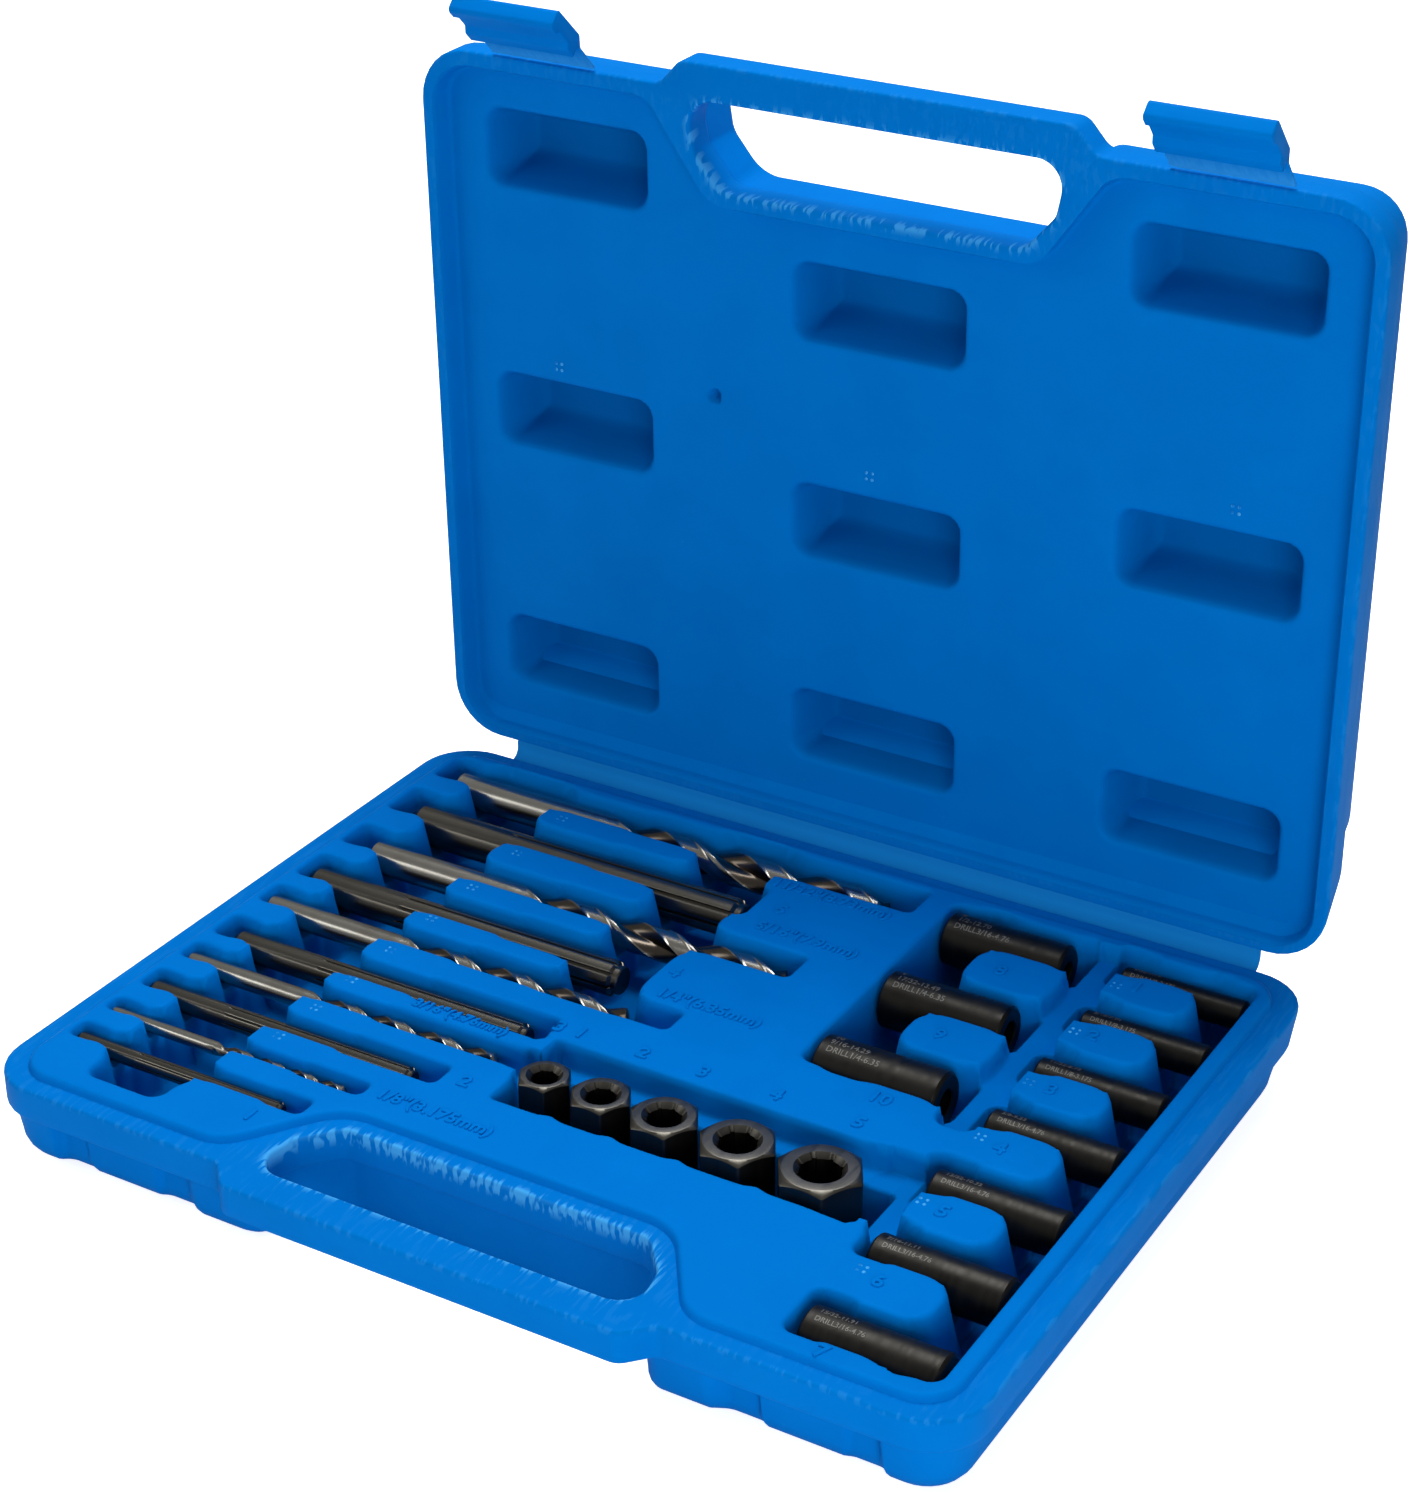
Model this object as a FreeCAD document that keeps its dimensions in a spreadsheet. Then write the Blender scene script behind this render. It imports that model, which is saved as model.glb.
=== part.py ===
import FreeCAD, Part
import math
import os
import Sketcher

document = FreeCAD.newDocument("screw_extractor_set")
sheet = document.addObject("Spreadsheet::Sheet", "sizes")

# Sizes in millimetres, angles in degrees
SIZES = {
    "case_width": 240.0,
    "case_depth": 182.3,
    "shell_depth": 22.0,
    "rim_corner": 13.5,
    "band_height": 8.0,
    "band_step": 1.8,
    "tub_draft": 5.0,
    "tub_edge_round": 5.0,
    "skin": 1.6,
    "pocket_draft": 7.0,
    "bar_reach": 6.1,
    "bar_half": 47.0,
    "bar_shoulder": 6.0,
    "hole_front": 2.7,
    "hole_back": 23.4,
    "hole_wide_half": 47.4,
    "hole_knee_half": 45.0,
    "hole_knee": 15.0,
    "hole_back_half": 38.0,
    "hole_front_corner": 6.0,
    "hole_knee_corner": 4.0,
    "hole_back_corner": 5.0,
    "bar_corner": 4.0,
    "back_slope_top": 5.0,
    "back_slope_step": 7.0,
    "back_slope_foot": 9.5,
    "slope_knee_share": 0.7,
    "deck_rise": 1.8,
    "deck_margin": 6.0,
    "deck_front": 4.6,
    "deck_back": 5.9,
    "deck_corner": 9.0,
    "deck_bay_back": 27.8,
    "deck_bay_front_half": 57.2,
    "deck_bay_back_half": 41.7,
    "bay_corner": 6.0,
    "slot_side": 0.35,
    "slot_floor": 0.3,
    "slot_start": 7.4,
    "slot_corner": 1.5,
    "slot_corner_growth": 0.08,
    "rod_top": 0.2,
    "trough_floor": 16.0,
    "trough_corner": 3.0,
    "finger_start": 21.5,
    "finger_end": 42.5,
    "finger_front": 9.4,
    "finger_back": 173.2,
    "second_start": 88.7,
    "second_end": 108.0,
    "second_front": 91.0,
    "sleeve_length": 30.8,
    "sleeve_axis": 4.0,
    "sleeve_chamfer": 0.6,
    "bore_clearance": 0.1,
    "column_start": 196.0,
    "column_sleeve": 197.9,
    "column_trough_start": 219.0,
    "column_trough_end": 230.8,
    "column_front": 9.3,
    "column_back": 173.0,
    "bay_start": 152.5,
    "bay_sleeve": 154.6,
    "bay_trough_end": 168.0,
    "bay_end": 189.7,
    "bay_front": 93.6,
    "bay_back": 172.4,
    "nut_height": 20.0,
    "nut_top": 4.5,
    "nut_front_line": 56.8,
    "nut_bore_share": 0.58,
    "nut_corner": 0.3,
    "nut_face_share": 0.475,
    "nut_bevel_share": 0.13,
    "nut_sink_depth": 0.8,
    "spline_half_share": 0.1,
    "spline_depth_share": 1.12,
    "trench_draft": 3.0,
    "trench_start": 102.9,
    "trench_end": 191.7,
    "trench_front": 46.6,
    "trench_back": 66.9,
    "ledge_back": 74.2,
    "ledge_floor": 4.2,
    "ledge_overlap": 6.0,
    "ledge_corner": 2.0,
    "trench_corner": 1.5,
    "ledge_end": 198.4,
    "ledge_front": 49.5,
    "valley_start": 189.2,
    "valley_end": 198.2,
    "valley_front": 87.0,
    "valley_floor": 2.8,
    "panel_recess": 5.0,
    "panel_margin": 3.5,
    "panel_hinge_edge": 3.2,
    "panel_front_edge": 3.9,
    "panel_bay_edge": 27.0,
    "panel_bay_front_half": 55.8,
    "panel_bay_back_half": 40.3,
    "lid_slope_top": 10.0,
    "lid_slope_step": 14.0,
    "lid_slope_foot": 17.4,
    "slope_step_height": 1.3,
    "pocket_width": 45.4,
    "pocket_length": 20.0,
    "pocket_floor": 19.0,
    "lid_pocket_draft": 18.0,
    "lid_pocket_corner": 4.5,
    "side_pocket_first": 15.0,
    "side_pocket_pitch": 66.8,
    "side_pocket_left": 14.2,
    "middle_pocket_first": 15.0,
    "middle_pocket_pitch": 55.0,
    "middle_pocket_left": 97.3,
    "hinge_reach": 2.7,
    "hinge_rise": 1.0,
    "rim_gap": 0.3,
    "lid_open_angle": 88.65,
    "film_start": 19.0,
    "film_end": 225.0,
    "film_thickness": 0.8,
    "film_round": 0.3,
    "latch_bay_depth": 3.6,
    "latch_bay_start": 18.5,
    "latch_bay_end": 54.0,
    "latch_width": 28.0,
    "latch_left_start": 20.7,
    "latch_right_start": 190.4,
    "latch_reach": 22.0,
    "latch_film": 0.8,
    "latch_pin": 0.6,
    "latch_gap": 0.5,
    "latch_film_length": 8.2,
    "latch_face": 2.4,
    "latch_face_start": 10.4,
    "latch_tip_face": 2.0,
    "latch_back": 1.6,
    "latch_hook": 2.6,
    "latch_hook_length": 3.0,
    "latch_foot": 2.9,
    "latch_foot_start": 9.3,
    "latch_foot_end": 12.4,
    "latch_back_angle_left": 45.0,
    "latch_back_angle_right": 48.0,
    "point_angle": 118.0,
    "helix_lead": 5.4,
    "flute_runout_share": 1.6,
    "flute_reach_share": 0.98,
    "flute_round_share": 0.64,
    "drill_chamfer": 0.4,
    "small_chamfer": 0.3,
    "pilot_share": 0.8,
    "pilot_length_share": 0.5,
    "shank_bevel_share": 0.25,
    "groove_length_share": 0.7,
    "groove_floor_share": 0.86,
    "groove_half_share": 0.16,
}

# Rods lie from left to right: name, diameter, length, left end, distance from the front, slot end
DRILLS = [
    ("drill_bit_1", 3.175, 65.0, 8.4, 35.7, 79.2, 36.0),
    ("drill_bit_2", 4.76, 86.0, 8.6, 62.9, 104.6, 52.0),
    ("drill_bit_3", 6.35, 101.0, 8.8, 93.2, 122.8, 63.0),
    ("drill_bit_4", 7.94, 117.0, 14.9, 127.1, 135.3, 75.0),
    ("drill_bit_5", 8.73, 125.0, 12.6, 167.6, 146.3, 81.0),
]
EXTRACTORS = [
    ("extractor_1", 4.0, 56.5, 8.6, 23.7, 72.5),
    ("extractor_2", 5.5, 73.0, 8.7, 48.9, 90.4),
    ("extractor_3", 6.8, 82.0, 11.7, 76.2, 100.7),
    ("extractor_4", 8.6, 89.0, 9.1, 109.2, 99.5),
    ("extractor_5", 10.0, 96.0, 12.4, 148.0, 112.0),
]
# Sleeves: name, diameter, bore, column, distance from the front
SLEEVES = [
    ("guide_sleeve_1", 7.14, 3.175, "column", 168.2),
    ("guide_sleeve_2", 7.94, 3.175, "column", 145.9),
    ("guide_sleeve_3", 8.73, 3.175, "column", 122.3),
    ("guide_sleeve_4", 9.53, 4.76, "column", 98.2),
    ("guide_sleeve_5", 10.32, 4.76, "column", 71.6),
    ("guide_sleeve_6", 11.11, 4.76, "column", 45.4),
    ("guide_sleeve_7", 11.91, 4.76, "column", 17.4),
    ("guide_sleeve_8", 12.70, 4.76, "bay", 165.0),
    ("guide_sleeve_9", 13.49, 6.35, "bay", 133.8),
    ("guide_sleeve_10", 14.29, 6.35, "bay", 102.1),
]
# The ribs of the extractors match the grooves in the nuts
SPLINES = 8
# Each turn of a flute is lofted through this many circles
FLUTE_STEPS = 12
# Nuts: name, width across flats, distance from the left
NUTS = [
    ("turn_nut_1", 11.11, 110.9),
    ("turn_nut_2", 12.70, 125.3),
    ("turn_nut_3", 14.29, 141.2),
    ("turn_nut_4", 15.88, 159.2),
    ("turn_nut_5", 17.46, 179.0),
]

for name, diameter, length, left, front, end, fluted in DRILLS:
    SIZES[name + "_diameter"] = diameter
    SIZES[name + "_length"] = length
    SIZES[name + "_left"] = left
    SIZES[name + "_front"] = front
    SIZES[name + "_slot_end"] = end
    SIZES[name + "_fluted"] = fluted
for name, diameter, length, left, front, end in EXTRACTORS:
    SIZES[name + "_diameter"] = diameter
    SIZES[name + "_length"] = length
    SIZES[name + "_left"] = left
    SIZES[name + "_front"] = front
    SIZES[name + "_slot_end"] = end
for name, diameter, bore, place, front in SLEEVES:
    SIZES[name + "_diameter"] = diameter
    SIZES[name + "_bore"] = bore
    SIZES[name + "_front"] = front
for name, flats, left in NUTS:
    SIZES[name + "_flats"] = flats
    SIZES[name + "_left"] = left

for row, (alias, value) in enumerate(SIZES.items(), start=1):
    sheet.set("A%d" % row, alias.replace("_", " "))
    sheet.set("B%d" % row, str(value))
    sheet.setAlias("B%d" % row, alias)
document.recompute()


def bind(words):
    """Turn a formula of size names into an expression on the sheet."""
    result = ""
    word = ""
    for letter in words + " ":
        if letter.isalnum() or letter == "_":
            word += letter
        else:
            if word in SIZES:
                word = "sizes." + word
            result += word + letter
            word = ""
    return result.strip()


def value_of(words):
    """Work out a formula of size names as a number."""
    holder.set("A1", "=" + bind(words))
    holder.recompute()
    return float(holder.get("A1"))


holder = document.addObject("Spreadsheet::Sheet", "work")


def sketch_on(body, plane, depth):
    """Add a sketch on one of the body's own planes, moved along its normal."""
    sketch = body.newObject("Sketcher::SketchObject", body.Name + "_sketch")
    roles = {feature.Role: feature for feature in body.Origin.OriginFeatures}
    sketch.AttachmentSupport = [(roles[plane], "")]
    sketch.MapMode = "FlatFace"
    sketch.setExpression("AttachmentOffset.Base.z", bind(depth))
    return sketch


def outline(sketch, corners):
    """Draw a closed outline: each corner is (across, up, radius), and radius "0" is a sharp one."""
    points = [FreeCAD.Vector(value_of(c[0]), value_of(c[1]), 0) for c in corners]
    radii = [value_of(c[2]) for c in corners]
    count = len(points)
    starts = []
    ends = []
    centres = []
    for i in range(count):
        back = (points[i - 1] - points[i]).normalize()
        ahead = (points[(i + 1) % count] - points[i]).normalize()
        half = back.getAngle(ahead) / 2
        reach = radii[i] / math.tan(half)
        starts.append(points[i] + back * reach)
        ends.append(points[i] + ahead * reach)
        centres.append(points[i] + (back + ahead).normalize() * (radii[i] / math.sin(half)))
    lines = []
    for i in range(count):
        lines.append(sketch.addGeometry(Part.LineSegment(ends[i], starts[(i + 1) % count])))
    for i in range(count):
        spot = sketch.addGeometry(Part.Point(points[i]), True)
        before = lines[i - 1]
        after = lines[i]
        if corners[i][2] == "0":
            sketch.addConstraint(Sketcher.Constraint("Coincident", after, 1, spot, 1))
            sketch.addConstraint(Sketcher.Constraint("Coincident", before, 2, spot, 1))
        else:
            sketch.addConstraint(Sketcher.Constraint("PointOnObject", spot, 1, after))
            sketch.addConstraint(Sketcher.Constraint("PointOnObject", spot, 1, before))
            begin = math.atan2(starts[i].y - centres[i].y, starts[i].x - centres[i].x)
            finish = math.atan2(ends[i].y - centres[i].y, ends[i].x - centres[i].x)
            circle = Part.Circle(centres[i], FreeCAD.Vector(0, 0, 1), radii[i])
            if (finish - begin) % (2 * math.pi) < math.pi:
                arc = sketch.addGeometry(Part.ArcOfCircle(circle, begin, finish))
                first, last = 1, 2
            else:
                arc = sketch.addGeometry(Part.ArcOfCircle(circle, finish, begin))
                first, last = 2, 1
            sketch.addConstraint(Sketcher.Constraint("Tangent", before, 2, arc, first))
            sketch.addConstraint(Sketcher.Constraint("Tangent", after, 1, arc, last))
            size = sketch.addConstraint(Sketcher.Constraint("Radius", arc, radii[i]))
            sketch.setExpression("Constraints[%d]" % size, bind(corners[i][2]))
        across = sketch.addConstraint(Sketcher.Constraint("DistanceX", -1, 1, spot, 1, points[i].x))
        sketch.setExpression("Constraints[%d]" % across, bind(corners[i][0]))
        up = sketch.addConstraint(Sketcher.Constraint("DistanceY", -1, 1, spot, 1, points[i].y))
        sketch.setExpression("Constraints[%d]" % up, bind(corners[i][1]))


def pad(body, sketch, length, draft="0", down=False):
    """Pad a sketch up, or down where asked, with its walls leaning in by the draft."""
    feature = body.newObject("PartDesign::Pad", body.Name + "_pad")
    feature.Profile = sketch
    feature.Reversed = down
    feature.setExpression("Length", bind(length))
    feature.setExpression("TaperAngle", bind("0 - (%s)" % draft))
    return feature


def pocket(body, sketch, length, draft="0"):
    """Cut a sketch down into the body, with its walls leaning in by the draft."""
    feature = body.newObject("PartDesign::Pocket", body.Name + "_pocket")
    feature.Profile = sketch
    feature.setExpression("Length", bind(length))
    feature.setExpression("TaperAngle", bind("0 - (%s)" % draft))
    return feature


def box(left, right, front, back, corner):
    """Return the four corners of an upright outline."""
    return [(left, front, corner), (right, front, corner), (right, back, corner), (left, back, corner)]


def shell(name, grow, mirrored):
    """Build one case half without its pockets, smaller all round by grow.

    The open side is up, with the parting plane at height 0. The front edge is at 0, or at
    case_depth where mirrored.
    """
    body = document.addObject("PartDesign::Body", name)

    def place(corners):
        if not mirrored:
            return corners
        return [(across, "case_depth - (%s)" % up, corner) for across, up, corner in corners]

    inset = "(band_step + %s)" % grow
    tub = sketch_on(body, "XY_Plane", "%s - band_height" % grow)
    right = "case_width - " + inset
    back = "case_depth - " + inset
    outline(tub, place(box(inset, right, inset, back, "rim_corner - " + inset)))
    tub_pad = pad(body, tub, "shell_depth - band_height", "tub_draft", True)
    document.recompute()
    floor = tub_pad.Shape.BoundBox.ZMin
    low_edges = []
    for number, edge in enumerate(tub_pad.Shape.Edges, start=1):
        if edge.BoundBox.ZMax < floor + 0.01:
            low_edges.append("Edge%d" % number)
    rounding = body.newObject("PartDesign::Fillet", name + "_rounding")
    rounding.Base = (tub_pad, low_edges)
    rounding.setExpression("Radius", bind("tub_edge_round - " + grow))

    band = sketch_on(body, "XY_Plane", "%s - band_height" % grow)
    corners = box(grow, "case_width - " + grow, grow, "case_depth - " + grow, "rim_corner - " + grow)
    outline(band, place(corners))
    pad(body, band, "band_height - 2 * %s" % grow)
    return body, place


def handle(body, place, grow):
    """Cut the hand hole through the body, and the room under the bar."""
    hole = sketch_on(body, "XY_Plane", "shell_depth")
    middle = "case_width / 2"
    corners = [
        ("%s - hole_wide_half - %s" % (middle, grow), "hole_front - " + grow, "hole_front_corner + " + grow),
        ("%s + hole_wide_half + %s" % (middle, grow), "hole_front - " + grow, "hole_front_corner + " + grow),
        ("%s + hole_knee_half + %s" % (middle, grow), "hole_knee", "hole_knee_corner"),
        ("%s + hole_back_half + %s" % (middle, grow), "hole_back + " + grow, "hole_back_corner"),
        ("%s - hole_back_half - %s" % (middle, grow), "hole_back + " + grow, "hole_back_corner"),
        ("%s - hole_knee_half - %s" % (middle, grow), "hole_knee", "hole_knee_corner"),
    ]
    outline(hole, place(corners))
    pocket(body, hole, "3 * shell_depth")
    under = sketch_on(body, "XY_Plane", grow + " - band_height")
    corners = [
        ("%s - hole_wide_half - %s" % (middle, grow), "0 - 2 * bar_reach", "1"),
        ("%s + hole_wide_half + %s" % (middle, grow), "0 - 2 * bar_reach", "1"),
        ("%s + hole_knee_half + %s" % (middle, grow), "hole_knee", "hole_knee_corner"),
        ("%s + hole_back_half + %s" % (middle, grow), "hole_back + " + grow, "hole_back_corner"),
        ("%s - hole_back_half - %s" % (middle, grow), "hole_back + " + grow, "hole_back_corner"),
        ("%s - hole_knee_half - %s" % (middle, grow), "hole_knee", "hole_knee_corner"),
    ]
    outline(under, place(corners))
    pocket(body, under, "2 * shell_depth")


def bar(body, place):
    """Add the handle bar that stands out past the front edge."""
    sketch = sketch_on(body, "XY_Plane", "0 - band_height")
    middle = "case_width / 2"
    corners = [
        (middle + " - bar_half - bar_shoulder", "1", "0.5"),
        (middle + " - bar_half", "0 - bar_reach", "bar_corner"),
        (middle + " + bar_half", "0 - bar_reach", "bar_corner"),
        (middle + " + bar_half + bar_shoulder", "1", "0.5"),
    ]
    outline(sketch, place(corners))
    pad(body, sketch, "band_height")


def back_slope(body, place, grow, top, step, foot):
    """Cut the leaning back wall, which lets the halves fold open."""
    sketch = sketch_on(body, "YZ_Plane", "0 - case_width")
    edge = "case_depth - " + grow
    corners = [
        ("case_depth + 1", "1", "0"),
        (edge, "0 - " + grow, "0"),
        ("%s - %s" % (edge, top), "0 - band_height", "0.5"),
        ("%s - %s" % (edge, step), "0 - band_height - slope_step_height", "0.5"),
        ("%s - %s" % (edge, foot), "0 - slope_knee_share * shell_depth", "2"),
        ("%s - %s - 1" % (edge, foot), "0 - shell_depth - 1", "0"),
        ("case_depth + 1", "0 - shell_depth - 1", "0"),
    ]
    outline(sketch, place_up(corners, place))
    feature = pocket(body, sketch, "3 * case_width")
    feature.Reversed = True


def place_up(corners, place):
    """Mirror corners that are given as (distance from the front, height)."""
    swapped = place([(up, across, corner) for across, up, corner in corners])
    return [(across, up, corner) for up, across, corner in swapped]


def deck(body, grow):
    """Raise the deck of the base inside the rim, with a bay round the hand hole."""
    sketch = sketch_on(body, "XY_Plane", "0 - " + grow)
    middle = "case_width / 2"
    left = "deck_margin + " + grow
    right = "case_width - deck_margin - " + grow
    front = "deck_front + " + grow
    back = "case_depth - deck_back - " + grow
    bay = "deck_bay_back + " + grow
    corners = [
        (left, front, "deck_corner - " + grow),
        ("%s - deck_bay_front_half - %s" % (middle, grow), front, "bay_corner"),
        ("%s - deck_bay_back_half - %s" % (middle, grow), bay, "bay_corner"),
        ("%s + deck_bay_back_half + %s" % (middle, grow), bay, "bay_corner"),
        ("%s + deck_bay_front_half + %s" % (middle, grow), front, "bay_corner"),
        (right, front, "deck_corner - " + grow),
        (right, back, "deck_corner - " + grow),
        (left, back, "deck_corner - " + grow),
    ]
    outline(sketch, corners)
    pad(body, sketch, "deck_rise")


def tray_pocket(body, grow, left, right, front, back, corner, floor, draft="pocket_draft"):
    """Cut one pocket of the tray from the deck down to its floor."""
    sketch = sketch_on(body, "XY_Plane", "deck_rise")
    corners = box(
        "%s - %s" % (left, grow),
        "%s + %s" % (right, grow),
        "%s - %s" % (front, grow),
        "%s + %s" % (back, grow),
        "%s + %s" % (corner, grow),
    )
    outline(sketch, corners)
    pocket(body, sketch, "deck_rise + %s + %s" % (floor, grow), draft)


def slot(body, grow, left, right, middle, diameter, axis_depth):
    """Cut a slot that carries a round piece lying along it."""
    half = "(%s / 2 + slot_side + (deck_rise + %s) * tan(pocket_draft))" % (diameter, axis_depth)
    floor = "(%s + %s / 2 + slot_floor)" % (axis_depth, diameter)
    corner = "(slot_corner + slot_corner_growth * %s)" % diameter
    front = "(%s - %s)" % (middle, half)
    back = "(%s + %s)" % (middle, half)
    tray_pocket(body, grow, left, right, front, back, corner, floor)


def tray(body, grow):
    """Cut all the slots and troughs of the base."""
    for name, *rest in DRILLS + EXTRACTORS:
        diameter = name + "_diameter"
        depth = "(%s / 2 - rod_top)" % diameter
        slot(body, grow, "slot_start", name + "_slot_end", name + "_front", diameter, depth)
    for name, diameter, bore, spot, front in SLEEVES:
        if spot == "column":
            left = "column_start"
            right = "(column_trough_start + trough_corner)"
        else:
            left = "(bay_trough_end - 2 * trough_corner)"
            right = "bay_end"
        slot(body, grow, left, right, name + "_front", name + "_diameter", "sleeve_axis")
    corner = "trough_corner"
    floor = "trough_floor"
    tray_pocket(body, grow, "finger_start", "finger_end", "finger_front", "finger_back", corner, floor)
    tray_pocket(body, grow, "second_start", "second_end", "second_front", "finger_back", corner, floor)
    tray_pocket(
        body, grow, "column_trough_start", "column_trough_end", "column_front", "column_back", corner, floor
    )
    tray_pocket(body, grow, "bay_start", "bay_trough_end", "bay_front", "bay_back", corner, floor)
    nut_floor = "(nut_height - nut_top + slot_floor)"
    tray_pocket(
        body, grow, "trench_start", "trench_end", "trench_front", "trench_back", "trench_corner", nut_floor,
        "trench_draft",
    )
    tray_pocket(
        body, grow, "valley_start", "valley_end", "valley_front", "bay_back", corner, "valley_floor"
    )
    middle = "(trench_back - ledge_overlap)"
    tray_pocket(
        body, grow, "trench_start", "trench_end", middle, "ledge_back", "ledge_corner", "ledge_floor"
    )
    beside = "(trench_end - ledge_overlap)"
    tray_pocket(
        body, grow, beside, "ledge_end", "ledge_front", "ledge_back", "ledge_corner", "ledge_floor"
    )


def latch_bays(body, grow):
    """Cut the two shallow bays in the front wall that take the latches."""
    for start, end in (
        ("latch_bay_start", "latch_bay_end"),
        ("(case_width - latch_bay_end)", "(case_width - latch_bay_start)"),
    ):
        sketch = sketch_on(body, "XY_Plane", grow + " - band_height")
        corners = box(start + " - " + grow, end + " + " + grow, "0 - 2", "latch_bay_depth + " + grow, "1")
        outline(sketch, corners)
        pocket(body, sketch, "2 * shell_depth")


def lid_panel(body, place):
    """Sink the panel of the lid below its rim, round the hand hole."""
    sketch = sketch_on(body, "XY_Plane", "0")
    middle = "case_width / 2"
    back = "case_depth - panel_hinge_edge"
    corners = [
        ("panel_margin", "panel_front_edge", "deck_corner"),
        (middle + " - panel_bay_front_half", "panel_front_edge", "bay_corner"),
        (middle + " - panel_bay_back_half", "panel_bay_edge", "bay_corner"),
        (middle + " + panel_bay_back_half", "panel_bay_edge", "bay_corner"),
        (middle + " + panel_bay_front_half", "panel_front_edge", "bay_corner"),
        ("case_width - panel_margin", "panel_front_edge", "deck_corner"),
        ("case_width - panel_margin", back, "deck_corner"),
        ("panel_margin", back, "deck_corner"),
    ]
    outline(sketch, place(corners))
    pocket(body, sketch, "panel_recess", "1")


def lid_pockets(body, grow):
    """Cut the nine pockets in the lid's panel, in three columns."""
    for column in range(3):
        side = column != 1
        left = "middle_pocket_left" if not side else "side_pocket_left"
        if column == 2:
            left = "(case_width - side_pocket_left - pocket_width)"
        for row_number in range(3):
            if side:
                start = "(side_pocket_first + %d * side_pocket_pitch)" % row_number
            else:
                start = "(middle_pocket_first + %d * middle_pocket_pitch)" % row_number
            sketch = sketch_on(body, "XY_Plane", "0 - panel_recess")
            corners = box(
                "%s - %s" % (left, grow),
                "%s + pocket_width + %s" % (left, grow),
                "%s - %s" % (start, grow),
                "%s + pocket_length + %s" % (start, grow),
                "lid_pocket_corner + " + grow,
            )
            outline(sketch, corners)
            pocket(body, sketch, "pocket_floor - panel_recess + " + grow, "lid_pocket_draft")


def cut_out(label, outer, core):
    """Cut the closed hollow between the two walls out of a moulded half."""
    part = document.addObject("Part::Cut", label)
    part.Base = outer
    part.Tool = core
    part.Label = label
    return part


def build_base():
    """Build the lower half of the case."""
    outer, place = shell("base_skin", "0", False)
    bar(outer, place)
    back_slope(outer, place, "0", "back_slope_top", "back_slope_step", "back_slope_foot")
    handle(outer, place, "0")
    latch_bays(outer, "0")
    deck(outer, "0")
    tray(outer, "0")
    core, place = shell("base_core", "skin", False)
    back_slope(core, place, "skin", "back_slope_top", "back_slope_step", "back_slope_foot")
    handle(core, place, "skin")
    latch_bays(core, "skin")
    deck(core, "skin")
    tray(core, "skin")
    base = cut_out("case_base", outer, core)
    base.setExpression("Placement.Base.x", bind("0 - case_width / 2"))
    base.setExpression("Placement.Base.y", bind("0 - case_depth / 2"))
    base.setExpression("Placement.Base.z", bind("shell_depth"))
    return base


def build_lid():
    """Build the upper half of the case, standing open."""
    outer, place = shell("lid_skin", "0", True)
    bar(outer, place)
    back_slope(outer, place, "0", "lid_slope_top", "lid_slope_step", "lid_slope_foot")
    handle(outer, place, "0")
    lid_panel(outer, place)
    lid_pockets(outer, "0")
    core, place = shell("lid_core", "skin", True)
    back_slope(core, place, "skin", "lid_slope_top", "lid_slope_step", "lid_slope_foot")
    handle(core, place, "skin")
    top = sketch_on(core, "XY_Plane", "0")
    outline(top, box("0 - 1", "case_width + 1", "0 - 1", "case_depth + 1", "1"))
    pocket(core, top, "panel_recess + skin")
    lid_pockets(core, "skin")
    lid = cut_out("case_lid", outer, core)
    lean = "(180 - lid_open_angle)"
    lid.setExpression("Placement.Rotation.Angle", bind(lean))
    lid.Placement = FreeCAD.Placement(
        FreeCAD.Vector(0, 0, 0), FreeCAD.Rotation(FreeCAD.Vector(1, 0, 0), value_of(lean))
    )
    lid.setExpression("Placement.Base.x", bind("0 - case_width / 2"))
    lid.setExpression("Placement.Base.y", bind(lid_spot("0", "0")[0]))
    lid.setExpression("Placement.Base.z", bind(lid_spot("0", "0")[1]))
    return lid


def lid_spot(out, up):
    """Return the expressions of a lid point, given from its hinge edge and rim plane."""
    lean = "(180 - lid_open_angle)"
    from_axis = "(%s + hinge_reach)" % out
    above_axis = "(%s + hinge_rise - rim_gap)" % up
    along = "case_depth / 2 + hinge_reach + {0} * cos{2} - {1} * sin{2}".format(from_axis, above_axis, lean)
    high = "shell_depth + hinge_rise + {0} * sin{2} + {1} * cos{2}".format(from_axis, above_axis, lean)
    return along, high


def revolve(body, corners):
    """Revolve an outline of (along, radius, rounding) corners about the body's long axis."""
    sketch = sketch_on(body, "XZ_Plane", "0")
    outline(sketch, corners)
    turn = body.newObject("PartDesign::Revolution", body.Name + "_turn")
    turn.Profile = sketch
    turn.ReferenceAxis = (axis_of(body, "X_Axis"), [""])
    turn.Angle = 360
    return turn


def axis_of(body, role):
    """Return one of the body's own axes."""
    return [feature for feature in body.Origin.OriginFeatures if feature.Role == role][0]


def lay(node, left, front, height):
    """Place a piece at its spot in the tray, in the shared frame."""
    node.setExpression("Placement.Base.x", bind("%s - case_width / 2" % left))
    node.setExpression("Placement.Base.y", bind("%s - case_depth / 2" % front))
    node.setExpression("Placement.Base.z", bind("shell_depth + %s" % height))


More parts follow.
